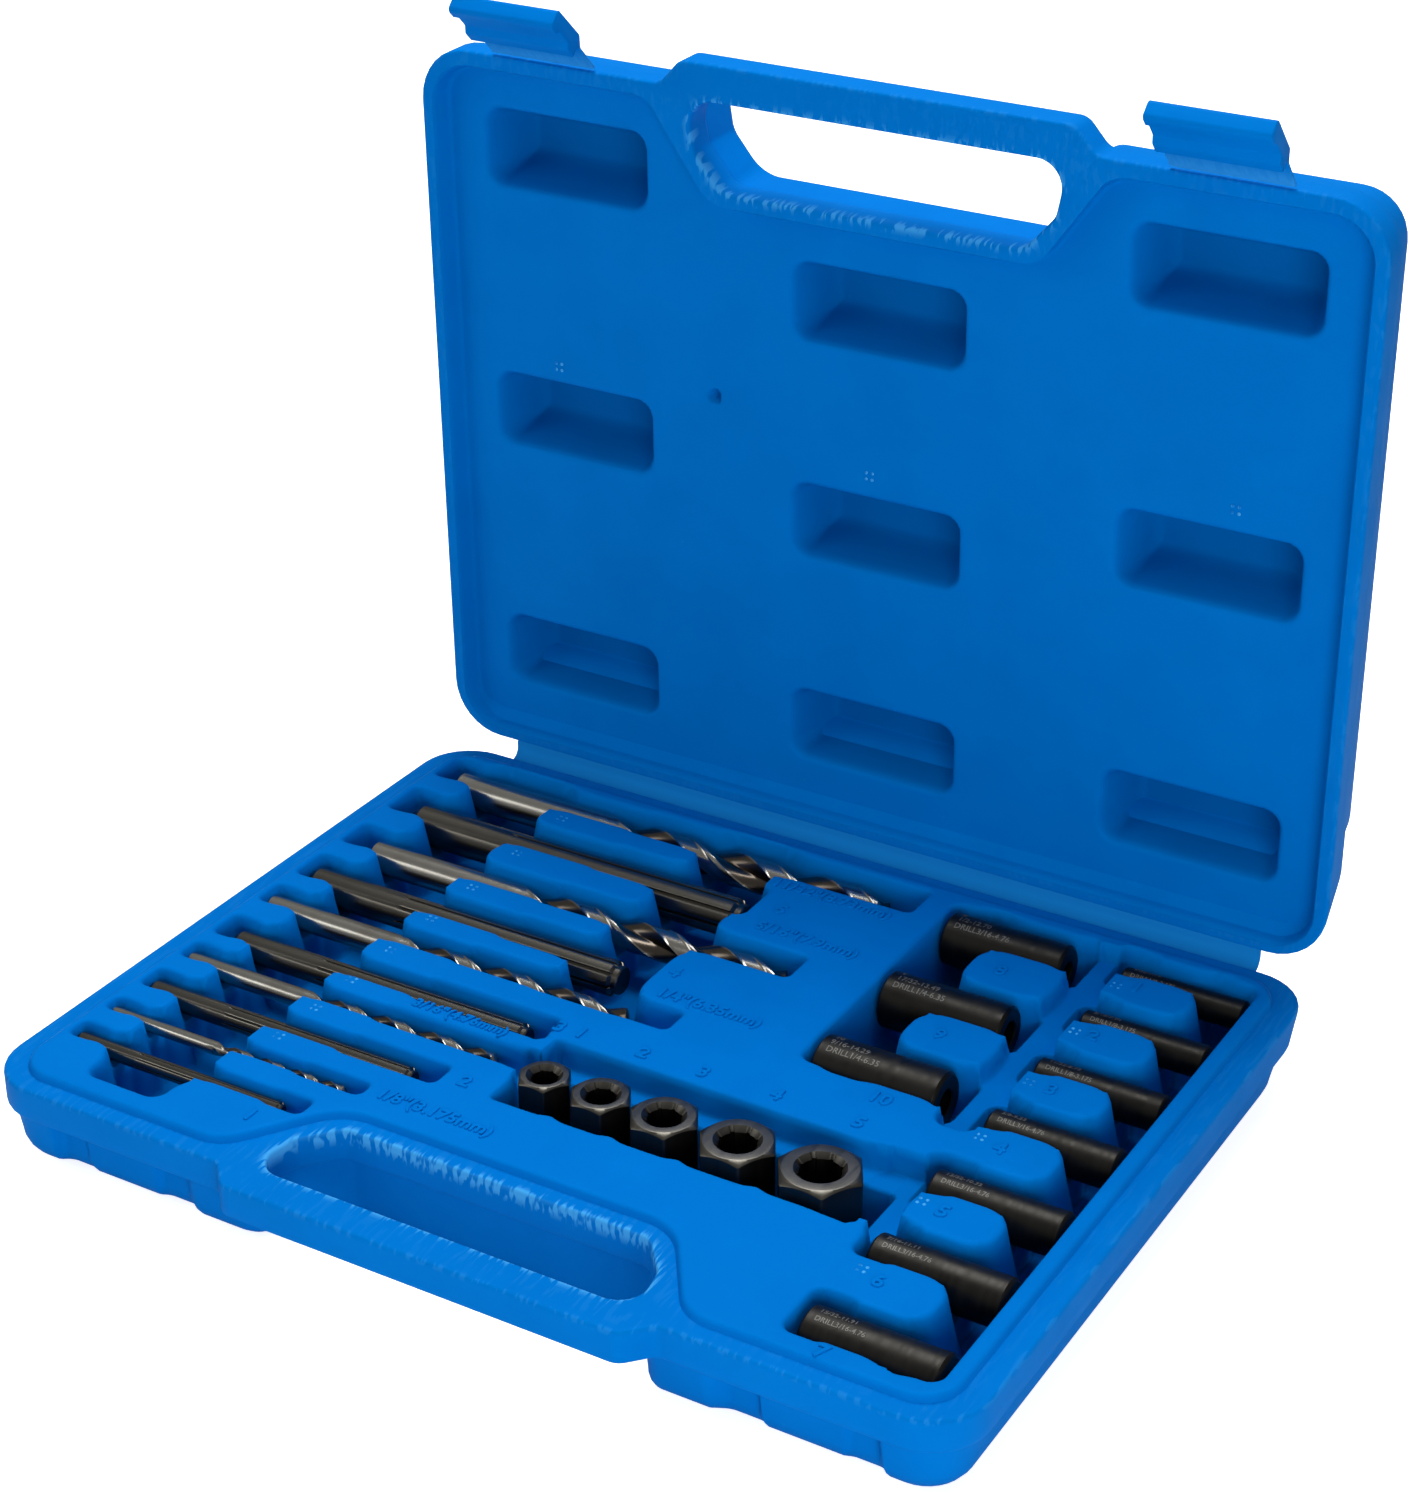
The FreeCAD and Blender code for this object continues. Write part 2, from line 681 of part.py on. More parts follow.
def flute_loft(diameter, start, stop, lead, turn):
    """Loft one twisted flute, which runs out of the rod at its start."""
    radius = diameter / 2
    step = lead / FLUTE_STEPS
    count = math.ceil((stop - start) / step) + 1
    wires = []
    for i in range(count):
        along = start + i * step
        angle = turn + i * 2 * math.pi / FLUTE_STEPS
        outward = radius * value_of("flute_runout_share" if i == 0 else "flute_reach_share")
        centre = FreeCAD.Vector(along, outward * math.cos(angle), outward * math.sin(angle))
        circle = Part.Circle(centre, FreeCAD.Vector(1, 0, 0), radius * value_of("flute_round_share"))
        wires.append(Part.Wire(circle.toShape()))
    return Part.makeLoft(wires, True, False)


def build_drill(name):
    """Build a twist drill along its own axis, with its point to the right."""
    diameter = name + "_diameter"
    length = name + "_length"
    blank = document.addObject("PartDesign::Body", name + "_blank")
    tip = "(%s - %s / 2 / tan(point_angle / 2))" % (length, diameter)
    revolve(blank, [
        ("0", "0", "0"),
        (length, "0", "0"),
        (tip, diameter + " / 2", "0"),
        ("drill_chamfer", diameter + " / 2", "0"),
        ("0", diameter + " / 2 - drill_chamfer", "0"),
    ])
    document.recompute()
    size = value_of(diameter)
    start = value_of(length) - value_of(name + "_fluted")
    lead = size * value_of("helix_lead")
    flutes = document.addObject("Part::Feature", name + "_flutes")
    pair = [flute_loft(size, start, value_of(length) + 1, lead, turn) for turn in (0, math.pi)]
    flutes.Shape = Part.makeCompound(pair)
    drill = document.addObject("Part::Cut", name)
    drill.Base = blank
    drill.Tool = flutes
    lay(drill, name + "_left", name + "_front", "rod_top - %s / 2" % diameter)
    return drill


def build_extractor(name):
    """Build a straight fluted extractor, with its shank to the left."""
    radius = "%s_diameter / 2" % name
    length = name + "_length"
    body = document.addObject("PartDesign::Body", name)
    pilot = "pilot_share * " + radius
    neck = "%s - pilot_length_share * %s" % (length, radius)
    revolve(body, [
        ("0", "0", "0"),
        (length, "0", "0"),
        (length, pilot + " - small_chamfer", "0"),
        (length + " - small_chamfer", pilot, "0"),
        (neck + " + small_chamfer", pilot, "0"),
        (neck, radius, "0"),
        ("shank_bevel_share * " + radius, radius, "0"),
        ("0", "(1 - shank_bevel_share) * " + radius, "0"),
    ])
    groove = sketch_on(body, "YZ_Plane", length + " + 1")
    half = "groove_half_share * " + radius
    outline(groove, [
        ("0 - 0.5 * " + half, "groove_floor_share * " + radius, "0"),
        ("0.5 * " + half, "groove_floor_share * " + radius, "0"),
        (half, "1.1 * " + radius, "0"),
        ("0 - " + half, "1.1 * " + radius, "0"),
    ])
    cut = pocket(body, groove, "groove_length_share * %s + 1" % length)
    ring = body.newObject("PartDesign::PolarPattern", name + "_ring")
    ring.Originals = [cut]
    ring.Axis = (axis_of(body, "X_Axis"), [""])
    ring.Angle = 360
    ring.Occurrences = SPLINES
    body.Tip = ring
    lay(body, name + "_left", name + "_front", "rod_top - " + radius)
    return body


def build_nut(name):
    """Build a turn nut: a hexagon with a turned top, and a splined bore through it."""
    flats = name + "_flats"
    body = document.addObject("PartDesign::Body", name)
    sketch = sketch_on(body, "XY_Plane", "0")
    corners = []
    for i in range(6):
        angle = "%d" % (60 * i)
        corner = "%s / 2 / cos(30)" % flats
        corners.append(("%s * cos(%s)" % (corner, angle), "%s * sin(%s)" % (corner, angle), "nut_corner"))
    outline(sketch, corners)
    pad(body, sketch, "nut_height")
    rim = sketch_on(body, "XZ_Plane", "0")
    outline(rim, [
        ("nut_face_share * " + flats, "nut_height", "0"),
        ("0.7 * " + flats, "nut_height - nut_bevel_share * " + flats, "0"),
        ("0.7 * " + flats, "nut_height + 1", "0"),
        ("nut_face_share * " + flats, "nut_height + 1", "0"),
    ])
    turned = body.newObject("PartDesign::Groove", name + "_turned")
    turned.Profile = rim
    turned.ReferenceAxis = (axis_of(body, "Z_Axis"), [""])
    turned.Angle = 360
    sink = sketch_on(body, "XZ_Plane", "0")
    bore = "(nut_bore_share * %s / 2)" % flats
    outline(sink, [
        ("0", "0 - 1", "0"),
        (bore, "0 - 1", "0"),
        (bore, "nut_height - nut_sink_depth", "0"),
        (bore + " + nut_sink_depth + 1", "nut_height + 1", "0"),
        ("0", "nut_height + 1", "0"),
    ])
    bored = body.newObject("PartDesign::Groove", name + "_bored")
    bored.Profile = sink
    bored.ReferenceAxis = (axis_of(body, "Z_Axis"), [""])
    bored.Angle = 360
    spline = sketch_on(body, "XY_Plane", "nut_height + 1")
    outline(spline, [
        ("0.85 * " + bore, "0 - spline_half_share * " + bore, "0"),
        ("spline_depth_share * " + bore, "0 - spline_half_share * " + bore, "0"),
        ("spline_depth_share * " + bore, "spline_half_share * " + bore, "0"),
        ("0.85 * " + bore, "spline_half_share * " + bore, "0"),
    ])
    cut = pocket(body, spline, "nut_height + 2")
    ring = body.newObject("PartDesign::PolarPattern", name + "_ring")
    ring.Originals = [cut]
    ring.Axis = (axis_of(body, "Z_Axis"), [""])
    ring.Angle = 360
    ring.Occurrences = SPLINES
    body.Tip = ring
    lay(body, name + "_left", "nut_front_line", "nut_top - nut_height")
    return body


def build_sleeve(name, spot):
    """Build a guide sleeve along its own axis, with chamfered ends and a bore."""
    radius = "%s_diameter / 2" % name
    bore = "(%s_bore / 2 + bore_clearance)" % name
    body = document.addObject("PartDesign::Body", name)
    revolve(body, [
        ("0", bore + " + small_chamfer", "0"),
        ("small_chamfer", bore, "0"),
        ("sleeve_length - small_chamfer", bore, "0"),
        ("sleeve_length", bore + " + small_chamfer", "0"),
        ("sleeve_length", radius + " - sleeve_chamfer", "0"),
        ("sleeve_length - sleeve_chamfer", radius, "0"),
        ("sleeve_chamfer", radius, "0"),
        ("0", radius + " - sleeve_chamfer", "0"),
    ])
    left = "column_sleeve" if spot == "column" else "bay_sleeve"
    lay(body, left, name + "_front", "0 - sleeve_axis")
    return body


def build_film():
    """Build the thin film strip that joins the two halves, bent as it lies with the lid open."""
    body = document.addObject("PartDesign::Body", "lid_hinge")
    sketch = sketch_on(body, "YZ_Plane", "film_start")
    near = "rim_gap + 0.05"
    far = "hinge_reach - 0.4"
    outline(sketch, [
        (near, "0 - 1.5", "film_round"),
        (near + " + film_thickness", "0 - 1.7", "film_round"),
        (far, "2.9", "film_round"),
        (far + " - film_thickness + 0.05", "3.1", "film_round"),
    ])
    pad(body, sketch, "film_end - film_start")
    body.setExpression("Placement.Base.x", bind("0 - case_width / 2"))
    body.setExpression("Placement.Base.y", bind("case_depth / 2"))
    body.setExpression("Placement.Base.z", bind("shell_depth"))
    return body


def build_latch(name, start, back_angle):
    """Build a latch tab with its film root: the root's axis is the origin."""
    body = document.addObject("PartDesign::Body", name)
    sketch = sketch_on(body, "YZ_Plane", "0")
    film = "latch_film / 2"
    outline(sketch, [
        ("0 - " + film, "0 - " + film, "0.35"),
        (film, "0 - " + film, "0.35"),
        (film, "latch_film_length", "1.5"),
        ("latch_face", "latch_face_start", "1"),
        ("latch_tip_face", "latch_reach", "1.2"),
        ("0 - latch_hook", "latch_reach", "1.2"),
        ("0 - latch_hook", "latch_reach - latch_hook_length", "0.4"),
        ("0 - latch_back", "latch_reach - latch_hook_length - 1", "0.6"),
        ("0 - latch_back", "latch_foot_end + 1.4", "0.6"),
        ("0 - latch_foot", "latch_foot_end", "1"),
        ("0 - latch_foot", "latch_foot_start", "0.3"),
        ("0 - " + film, "latch_foot_start", "0.3"),
    ])
    pad(body, sketch, "latch_width")
    lean = "(180 - lid_open_angle - %s)" % back_angle
    body.Placement = FreeCAD.Placement(
        FreeCAD.Vector(0, 0, 0), FreeCAD.Rotation(FreeCAD.Vector(1, 0, 0), value_of(lean))
    )
    along, high = lid_spot("(case_depth + latch_film / 2 + latch_gap)", "(0 - latch_pin)")
    body.setExpression("Placement.Rotation.Angle", bind(lean))
    body.setExpression("Placement.Base.x", bind("%s - case_width / 2" % start))
    body.setExpression("Placement.Base.y", bind(along))
    body.setExpression("Placement.Base.z", bind(high))
    return body


def build_all():
    """Build every piece and return the nodes in order."""
    nodes = [build_base(), build_lid(), build_film()]
    nodes.append(build_latch("latch_left", "latch_left_start", "latch_back_angle_left"))
    nodes.append(build_latch("latch_right", "latch_right_start", "latch_back_angle_right"))
    nodes += [build_drill(row[0]) for row in DRILLS]
    nodes += [build_extractor(row[0]) for row in EXTRACTORS]
    nodes += [build_nut(row[0]) for row in NUTS]
    nodes += [build_sleeve(row[0], row[3]) for row in SLEEVES]
    return nodes


def export(nodes):
    """Check every piece and write each one to its own file."""
    for thing in document.Objects:
        if "Invalid" in thing.State or "Error" in thing.State:
            raise RuntimeError("%s did not build" % thing.Name)
    os.makedirs("parts", exist_ok=True)
    for node in nodes:
        if not node.Shape.isValid() or len(node.Shape.Solids) != 1:
            raise RuntimeError("%s is not one good solid" % node.Label)
        node.Shape.exportStep("parts/%s.step" % node.Label)


pieces = build_all()
document.recompute()
export(pieces)
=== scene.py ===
"""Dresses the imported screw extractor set: case halves, tools and studio, in metres."""
import logging
import math
from dataclasses import dataclass
from enum import Enum

import bmesh
import bpy
import numpy as np
from mathutils import Euler, Matrix, Vector
from mathutils.geometry import tessellate_polygon


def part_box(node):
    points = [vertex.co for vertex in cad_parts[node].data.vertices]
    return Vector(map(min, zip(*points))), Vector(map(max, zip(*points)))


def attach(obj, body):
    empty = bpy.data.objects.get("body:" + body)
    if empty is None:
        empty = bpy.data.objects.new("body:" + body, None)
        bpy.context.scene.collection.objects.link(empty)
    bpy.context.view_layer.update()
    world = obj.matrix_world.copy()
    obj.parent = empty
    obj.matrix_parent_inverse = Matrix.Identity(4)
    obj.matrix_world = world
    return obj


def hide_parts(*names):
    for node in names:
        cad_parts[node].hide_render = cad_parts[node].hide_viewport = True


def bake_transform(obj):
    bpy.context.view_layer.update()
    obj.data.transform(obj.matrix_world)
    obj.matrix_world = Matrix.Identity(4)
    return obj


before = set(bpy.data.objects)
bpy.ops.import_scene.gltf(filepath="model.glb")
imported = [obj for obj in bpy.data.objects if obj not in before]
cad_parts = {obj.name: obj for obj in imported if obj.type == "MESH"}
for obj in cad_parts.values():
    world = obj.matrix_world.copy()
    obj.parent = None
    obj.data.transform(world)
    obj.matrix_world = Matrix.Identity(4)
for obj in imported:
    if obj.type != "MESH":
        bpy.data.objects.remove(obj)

LOG = logging.getLogger("screw_extractor_set")
MM = 0.001
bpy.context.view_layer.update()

Corner = tuple[float, float, float]


class Side(Enum):
    """Which half of the case a piece belongs to."""

    BASE = "base"
    LID = "lid"


class Spot(Enum):
    """Where a guide sleeve lies."""

    COLUMN = "column"
    BAY = "bay"


@dataclass(frozen=True)
class CaseSizes:
    """Sizes of the case in millimetres, measured from the left front corner at the parting plane."""

    width: float = 240.0
    depth: float = 182.3
    height: float = 22.0
    rim_corner: float = 13.5
    band: float = 8.0
    step: float = 1.8
    deck: float = 1.8
    hinge_reach: float = 2.7
    hinge_rise: float = 1.0
    rim_gap: float = 0.3
    open_angle: float = 88.65
    recess: float = 5.0


CASE = CaseSizes()


@dataclass(frozen=True)
class Rod:
    """A drill or an extractor that lies in the tray: sizes in millimetres."""

    name: str
    diameter: float
    length: float
    left: float
    front: float
    slot_end: float
    fluted: float = 0.0


@dataclass(frozen=True)
class Sleeve:
    """A guide sleeve that lies in the tray."""

    name: str
    diameter: float
    bore: float
    spot: Spot
    front: float


@dataclass(frozen=True)
class Nut:
    """A turn nut that stands in the trench."""

    name: str
    flats: float
    left: float


DRILLS = [
    Rod("drill_bit_1", 3.175, 65.0, 8.4, 35.7, 79.2, 36.0),
    Rod("drill_bit_2", 4.76, 86.0, 8.6, 62.9, 104.6, 52.0),
    Rod("drill_bit_3", 6.35, 101.0, 8.8, 93.2, 122.8, 63.0),
    Rod("drill_bit_4", 7.94, 117.0, 14.9, 127.1, 135.3, 75.0),
    Rod("drill_bit_5", 8.73, 125.0, 12.6, 167.6, 146.3, 81.0),
]
EXTRACTORS = [
    Rod("extractor_1", 4.0, 56.5, 8.6, 23.7, 72.5),
    Rod("extractor_2", 5.5, 73.0, 8.7, 48.9, 90.4),
    Rod("extractor_3", 6.8, 82.0, 11.7, 76.2, 100.7),
    Rod("extractor_4", 8.6, 89.0, 9.1, 109.2, 99.5),
    Rod("extractor_5", 10.0, 96.0, 12.4, 148.0, 112.0),
]
SLEEVES = [
    Sleeve("guide_sleeve_1", 7.14, 3.175, Spot.COLUMN, 168.2),
    Sleeve("guide_sleeve_2", 7.94, 3.175, Spot.COLUMN, 145.9),
    Sleeve("guide_sleeve_3", 8.73, 3.175, Spot.COLUMN, 122.3),
    Sleeve("guide_sleeve_4", 9.53, 4.76, Spot.COLUMN, 98.2),
    Sleeve("guide_sleeve_5", 10.32, 4.76, Spot.COLUMN, 71.6),
    Sleeve("guide_sleeve_6", 11.11, 4.76, Spot.COLUMN, 45.4),
    Sleeve("guide_sleeve_7", 11.91, 4.76, Spot.COLUMN, 17.4),
    Sleeve("guide_sleeve_8", 12.70, 4.76, Spot.BAY, 165.0),
    Sleeve("guide_sleeve_9", 13.49, 6.35, Spot.BAY, 133.8),
    Sleeve("guide_sleeve_10", 14.29, 6.35, Spot.BAY, 102.1),
]
NUTS = [
    Nut("turn_nut_1", 11.11, 110.9),
    Nut("turn_nut_2", 12.70, 125.3),
    Nut("turn_nut_3", 14.29, 141.2),
    Nut("turn_nut_4", 15.88, 159.2),
    Nut("turn_nut_5", 17.46, 179.0),
]
ROD_TOP = 0.2
SLEEVE_AXIS = -4.0
SLEEVE_LENGTH = 30.8
OUTER_SIZES = ("9/32", "5/16", "11/32", "3/8", "13/32", "7/16", "15/32", "1/2", "17/32", "9/16")
DRILL_SIZES = {3.175: "1/8", 4.76: "3/16", 6.35: "1/4"}
SLEEVE_LEFT = {Spot.COLUMN: 197.9, Spot.BAY: 154.6}


# Places in the shared frame

def tray_matrix() -> Matrix:
    """Return the matrix from case millimetres to the shared frame in metres."""
    shift = Matrix.Translation(Vector((-CASE.width / 2, -CASE.depth / 2, CASE.height)))
    return Matrix.Scale(MM, 4) @ shift


def lid_matrix() -> Matrix:
    """Return the matrix from lid millimetres to the shared frame, with the lid open at rest.

    Lid millimetres run right along the hinge, out from the hinge edge, and up out of the rim plane.
    """
    turn = Matrix.Rotation(math.radians(180.0 - CASE.open_angle), 4, "X")
    axis = Vector((0.0, CASE.depth + CASE.hinge_reach, CASE.hinge_rise))
    own = Vector((0.0, CASE.hinge_reach, CASE.hinge_rise - CASE.rim_gap))
    return tray_matrix() @ Matrix.Translation(axis) @ turn @ Matrix.Translation(own)


# Outlines

class Outline:
    """A closed outline with rounded corners, listed anticlockwise."""

    def __init__(self, corners: list[Corner]) -> None:
        """Keep the corners, each (across, up, radius)."""
        self.corners = corners

    def offset(self, inward: float) -> "Outline":
        """Return the outline moved inward.

        Args:
            inward: distance in millimetres, negative to move outward.

        Returns:
            A new outline with as many corners, so that the two can be joined by a wall.
        """
        points = [np.array(c[:2], float) for c in self.corners]
        count = len(points)
        result: list[Corner] = []
        for i in range(count):
            before = points[i] - points[i - 1]
            after = points[(i + 1) % count] - points[i]
            before /= np.linalg.norm(before)
            after /= np.linalg.norm(after)
            left_before = np.array([-before[1], before[0]])
            left_after = np.array([-after[1], after[0]])
            bisector = left_before + left_after
            bisector /= np.linalg.norm(bisector)
            spot = points[i] + bisector * inward / max(float(bisector @ left_after), 0.2)
            turn = before[0] * after[1] - before[1] * after[0]
            radius = self.corners[i][2] + (-inward if turn > 0 else inward)
            result.append((float(spot[0]), float(spot[1]), max(radius, 0.15)))
        return Outline(result)

    def mirrored(self, depth: float) -> "Outline":
        """Return the outline turned front to back, still anticlockwise."""
        return Outline([(x, depth - y, r) for x, y, r in reversed(self.corners)])

    def points(self, steps: int = 8) -> np.ndarray:
        """Return the outline as points, with the same number at each corner.

        Args:
            steps: points round each corner, less one.

        Returns:
            An array of shape (corners * (steps + 1), 2).
        """
        spots = np.array([c[:2] for c in self.corners], float)
        count = len(spots)
        edges = np.roll(spots, -1, axis=0) - spots
        lengths = np.linalg.norm(edges, axis=1)
        aheads = edges / lengths[:, None]
        backs = -np.roll(aheads, 1, axis=0)
        halves = 0.5 * np.arccos(np.clip((backs * aheads).sum(axis=1), -1, 1))
        wanted = np.array([c[2] for c in self.corners]) / np.tan(halves)
        shares = np.minimum(1.0, 0.98 * lengths / np.maximum(wanted + np.roll(wanted, -1), 1e-6))
        reaches = wanted * np.minimum(shares, np.roll(shares, 1))
        found = []
        for i in range(count):
            back, ahead, half, reach = backs[i], aheads[i], float(halves[i]), float(reaches[i])
            radius = reach * math.tan(half)
            middle = back + ahead
            middle /= np.linalg.norm(middle)
            centre = spots[i] + middle * radius / math.sin(half)
            start = spots[i] + back * reach - centre
            end = spots[i] + ahead * reach - centre
            sweep = math.pi - 2 * half
            sign = 1.0 if start[0] * end[1] - start[1] * end[0] > 0 else -1.0
            for k in range(steps + 1):
                angle = sign * sweep * k / steps
                cos, sin = math.cos(angle), math.sin(angle)
                found.append(centre + [start[0] * cos - start[1] * sin, start[0] * sin + start[1] * cos])
        return np.array(found)


# Mesh making

class MeshMaker:
    """Gathers points and faces, and turns them into one object."""

    def __init__(self) -> None:
        """Start with nothing."""
        self.points: list[np.ndarray] = []
        self.faces: list[tuple[int, ...]] = []
        self.marks: list[np.ndarray] = []
        self.count = 0

    def add(self, points: np.ndarray, mark: float | np.ndarray = 0.0) -> int:
        """Add points and return the number of the first.

        Args:
            points: array of shape (n, 3), in millimetres.
            mark: the value of the wear attribute there.

        Returns:
            The index of the first new point.
        """
        first = self.count
        self.points.append(np.asarray(points, float))
        self.marks.append(np.broadcast_to(np.asarray(mark, float), (len(points),)).copy())
        self.count += len(points)
        return first

    def wall(self, rings: list[tuple[np.ndarray, float]], closed: bool = True, flip: bool = False) -> list[int]:
        """Join rings of equal length by quads.

        Args:
            rings: pairs of an (n, 3) array and its mark.
            closed: whether each ring closes on itself.
            flip: whether the faces turn the other way.

        Returns:
            The index of the first point of each ring.
        """
        firsts = [self.add(ring, mark) for ring, mark in rings]
        n = len(rings[0][0])
        for a, b in zip(firsts, firsts[1:]):
            for i in range(n if closed else n - 1):
                j = (i + 1) % n
                face = (a + i, a + j, b + j, b + i)
                self.faces.append(tuple(reversed(face)) if flip else face)
        return firsts

    def sheet(self, rings: list[np.ndarray], height: float, up: bool, mark: float = 0.0) -> None:
        """Fill a flat face between an outer ring and any rings inside it.

        Args:
            rings: arrays of shape (n, 2): the outer one first.
            height: the height of the face.
            up: whether it faces up.
            mark: the value of the wear attribute there.

        The rings are turned for the filling only, because it goes wrong along edges that lie with an axis.
        """
        turn = Matrix.Rotation(math.radians(17), 3, "Z")
        loops = [[turn @ Vector((p[0], p[1], 0.0)) for p in ring] for ring in rings]
        triangles = tessellate_polygon(loops)
        flat = np.vstack([np.column_stack([ring, np.full(len(ring), height)]) for ring in rings])
        first = self.add(flat, mark)
        for tri in triangles:
            a, b, c = (flat[i] for i in tri)
            area = (b[0] - a[0]) * (c[1] - a[1]) - (b[1] - a[1]) * (c[0] - a[0])
            if abs(area) < 1e-9:
                continue
            order = tri if (area > 0) == up else tuple(reversed(tri))
            self.faces.append(tuple(first + i for i in order))

    def build(self, name: str, matrix: Matrix, sharp: float = 40.0, merge: float = 1e-3) -> bpy.types.Object:
        """Make the object, with its place in its mesh.

        Args:
            name: the object's name.
            matrix: from millimetres to the shared frame.
            sharp: edges that turn by more than this many degrees stay crisp.
            merge: points nearer than this many millimetres become one.

        Returns:
            The new object, linked to the scene.
        """
        mesh = bpy.data.meshes.new(name)
        mesh.from_pydata([tuple(p) for p in np.vstack(self.points)], [], self.faces)
        wear_and_shade = mesh.attributes.new("wear_and_shade", "FLOAT", "POINT")
        wear_and_shade.data.foreach_set("value", np.concatenate(self.marks).astype(np.float32))
        shape = bmesh.new()
        shape.from_mesh(mesh)
        bmesh.ops.remove_doubles(shape, verts=shape.verts, dist=merge)
        bmesh.ops.dissolve_degenerate(shape, dist=merge / 2, edges=shape.edges)
        shape.to_mesh(mesh)
        shape.free()
        mesh.transform(matrix)
        finish_mesh(mesh, sharp)
        return link(name, mesh)


def finish_mesh(mesh: bpy.types.Mesh, sharp: float) -> None:
    """Shade a mesh smooth, with crisp edges where it turns by more than sharp degrees."""
    mesh.polygons.foreach_set("use_smooth", [True] * len(mesh.polygons))
    mesh.set_sharp_from_angle(angle=math.radians(sharp))
    mesh.update()


def link(name: str, mesh: bpy.types.Mesh) -> bpy.types.Object:
    """Put a mesh in the scene as an object at the origin."""
    thing = bpy.data.objects.new(name, mesh)
    bpy.context.scene.collection.objects.link(thing)
    return thing


def level(ring: np.ndarray, height: float) -> np.ndarray:
    """Return a flat ring of points at one height."""
    return np.column_stack([ring, np.full(len(ring), height)])


def dress(thing: bpy.types.Object, material: bpy.types.Material) -> None:
    """Give an object one material in place of any it has."""
    thing.data.materials.clear()
    thing.data.materials.append(material)


# Reliefs: surfaces whose height is worked out from distances to the pockets' outlines

def box_distance(x: np.ndarray, y: np.ndarray, box: tuple[float, float, float, float], radius: float) -> np.ndarray:
    """Return how far inside a rounded box each point lies.

    Args:
        x: distances from the left.
        y: distances from the front.
        box: left, right, front and back of the box.
        radius: the radius of its corners.

    Returns:
        Millimetres inside the edge, negative outside.
    """
    left, right, front, back = box
    across = np.abs(x - (left + right) / 2) - ((right - left) / 2 - radius)
    along = np.abs(y - (front + back) / 2) - ((back - front) / 2 - radius)
    outside = np.hypot(np.maximum(across, 0), np.maximum(along, 0))
    inside = np.minimum(np.maximum(across, along), 0)
    return radius - outside - inside


def soft_max(a: np.ndarray, b: np.ndarray, blend: float) -> np.ndarray:
    """Return the larger of two fields, eased over a width where they meet."""
    near = np.maximum(blend - np.abs(a - b), 0) / blend
    return np.maximum(a, b) + near * near * blend / 4


def soft_min(a: np.ndarray, b: np.ndarray, blend: float) -> np.ndarray:
    """Return the smaller of two fields, eased over a width where they meet."""
    return -soft_max(-a, -b, blend)


def step_up(x: np.ndarray, low: float, high: float) -> np.ndarray:
    """Return an eased step from 0 at low to 1 at high."""
    share = np.clip((x - low) / (high - low), 0, 1)
    return share * share * (3 - 2 * share)


def drop(inside: np.ndarray, radius: float, slope: float) -> np.ndarray:
    """Return how far a wall has fallen at a distance inside its edge.

    Args:
        inside: distance inside the edge.
        radius: the rounding at the top.
        slope: how steep the wall is below it.

    Returns:
        The fall in millimetres, 0 outside the edge.
    """
    lean = math.atan(slope)
    reach = radius * math.sin(lean)
    arc = radius - np.sqrt(np.maximum(radius**2 - np.clip(inside, 0, reach) ** 2, 0))
    return arc + slope * np.maximum(inside - reach, 0)


def bay_distance(x: np.ndarray, y: np.ndarray, front_half: float, back_half: float, back: float) -> np.ndarray:
    """Return how far each point lies inside the bay that the deck or panel leaves round the hand hole."""
    across = np.abs(x - CASE.width / 2)
    run = math.hypot(back, front_half - back_half)
    side = ((front_half - across) * back - y * (front_half - back_half)) / run
    return soft_min(side, back - y, 6.0)


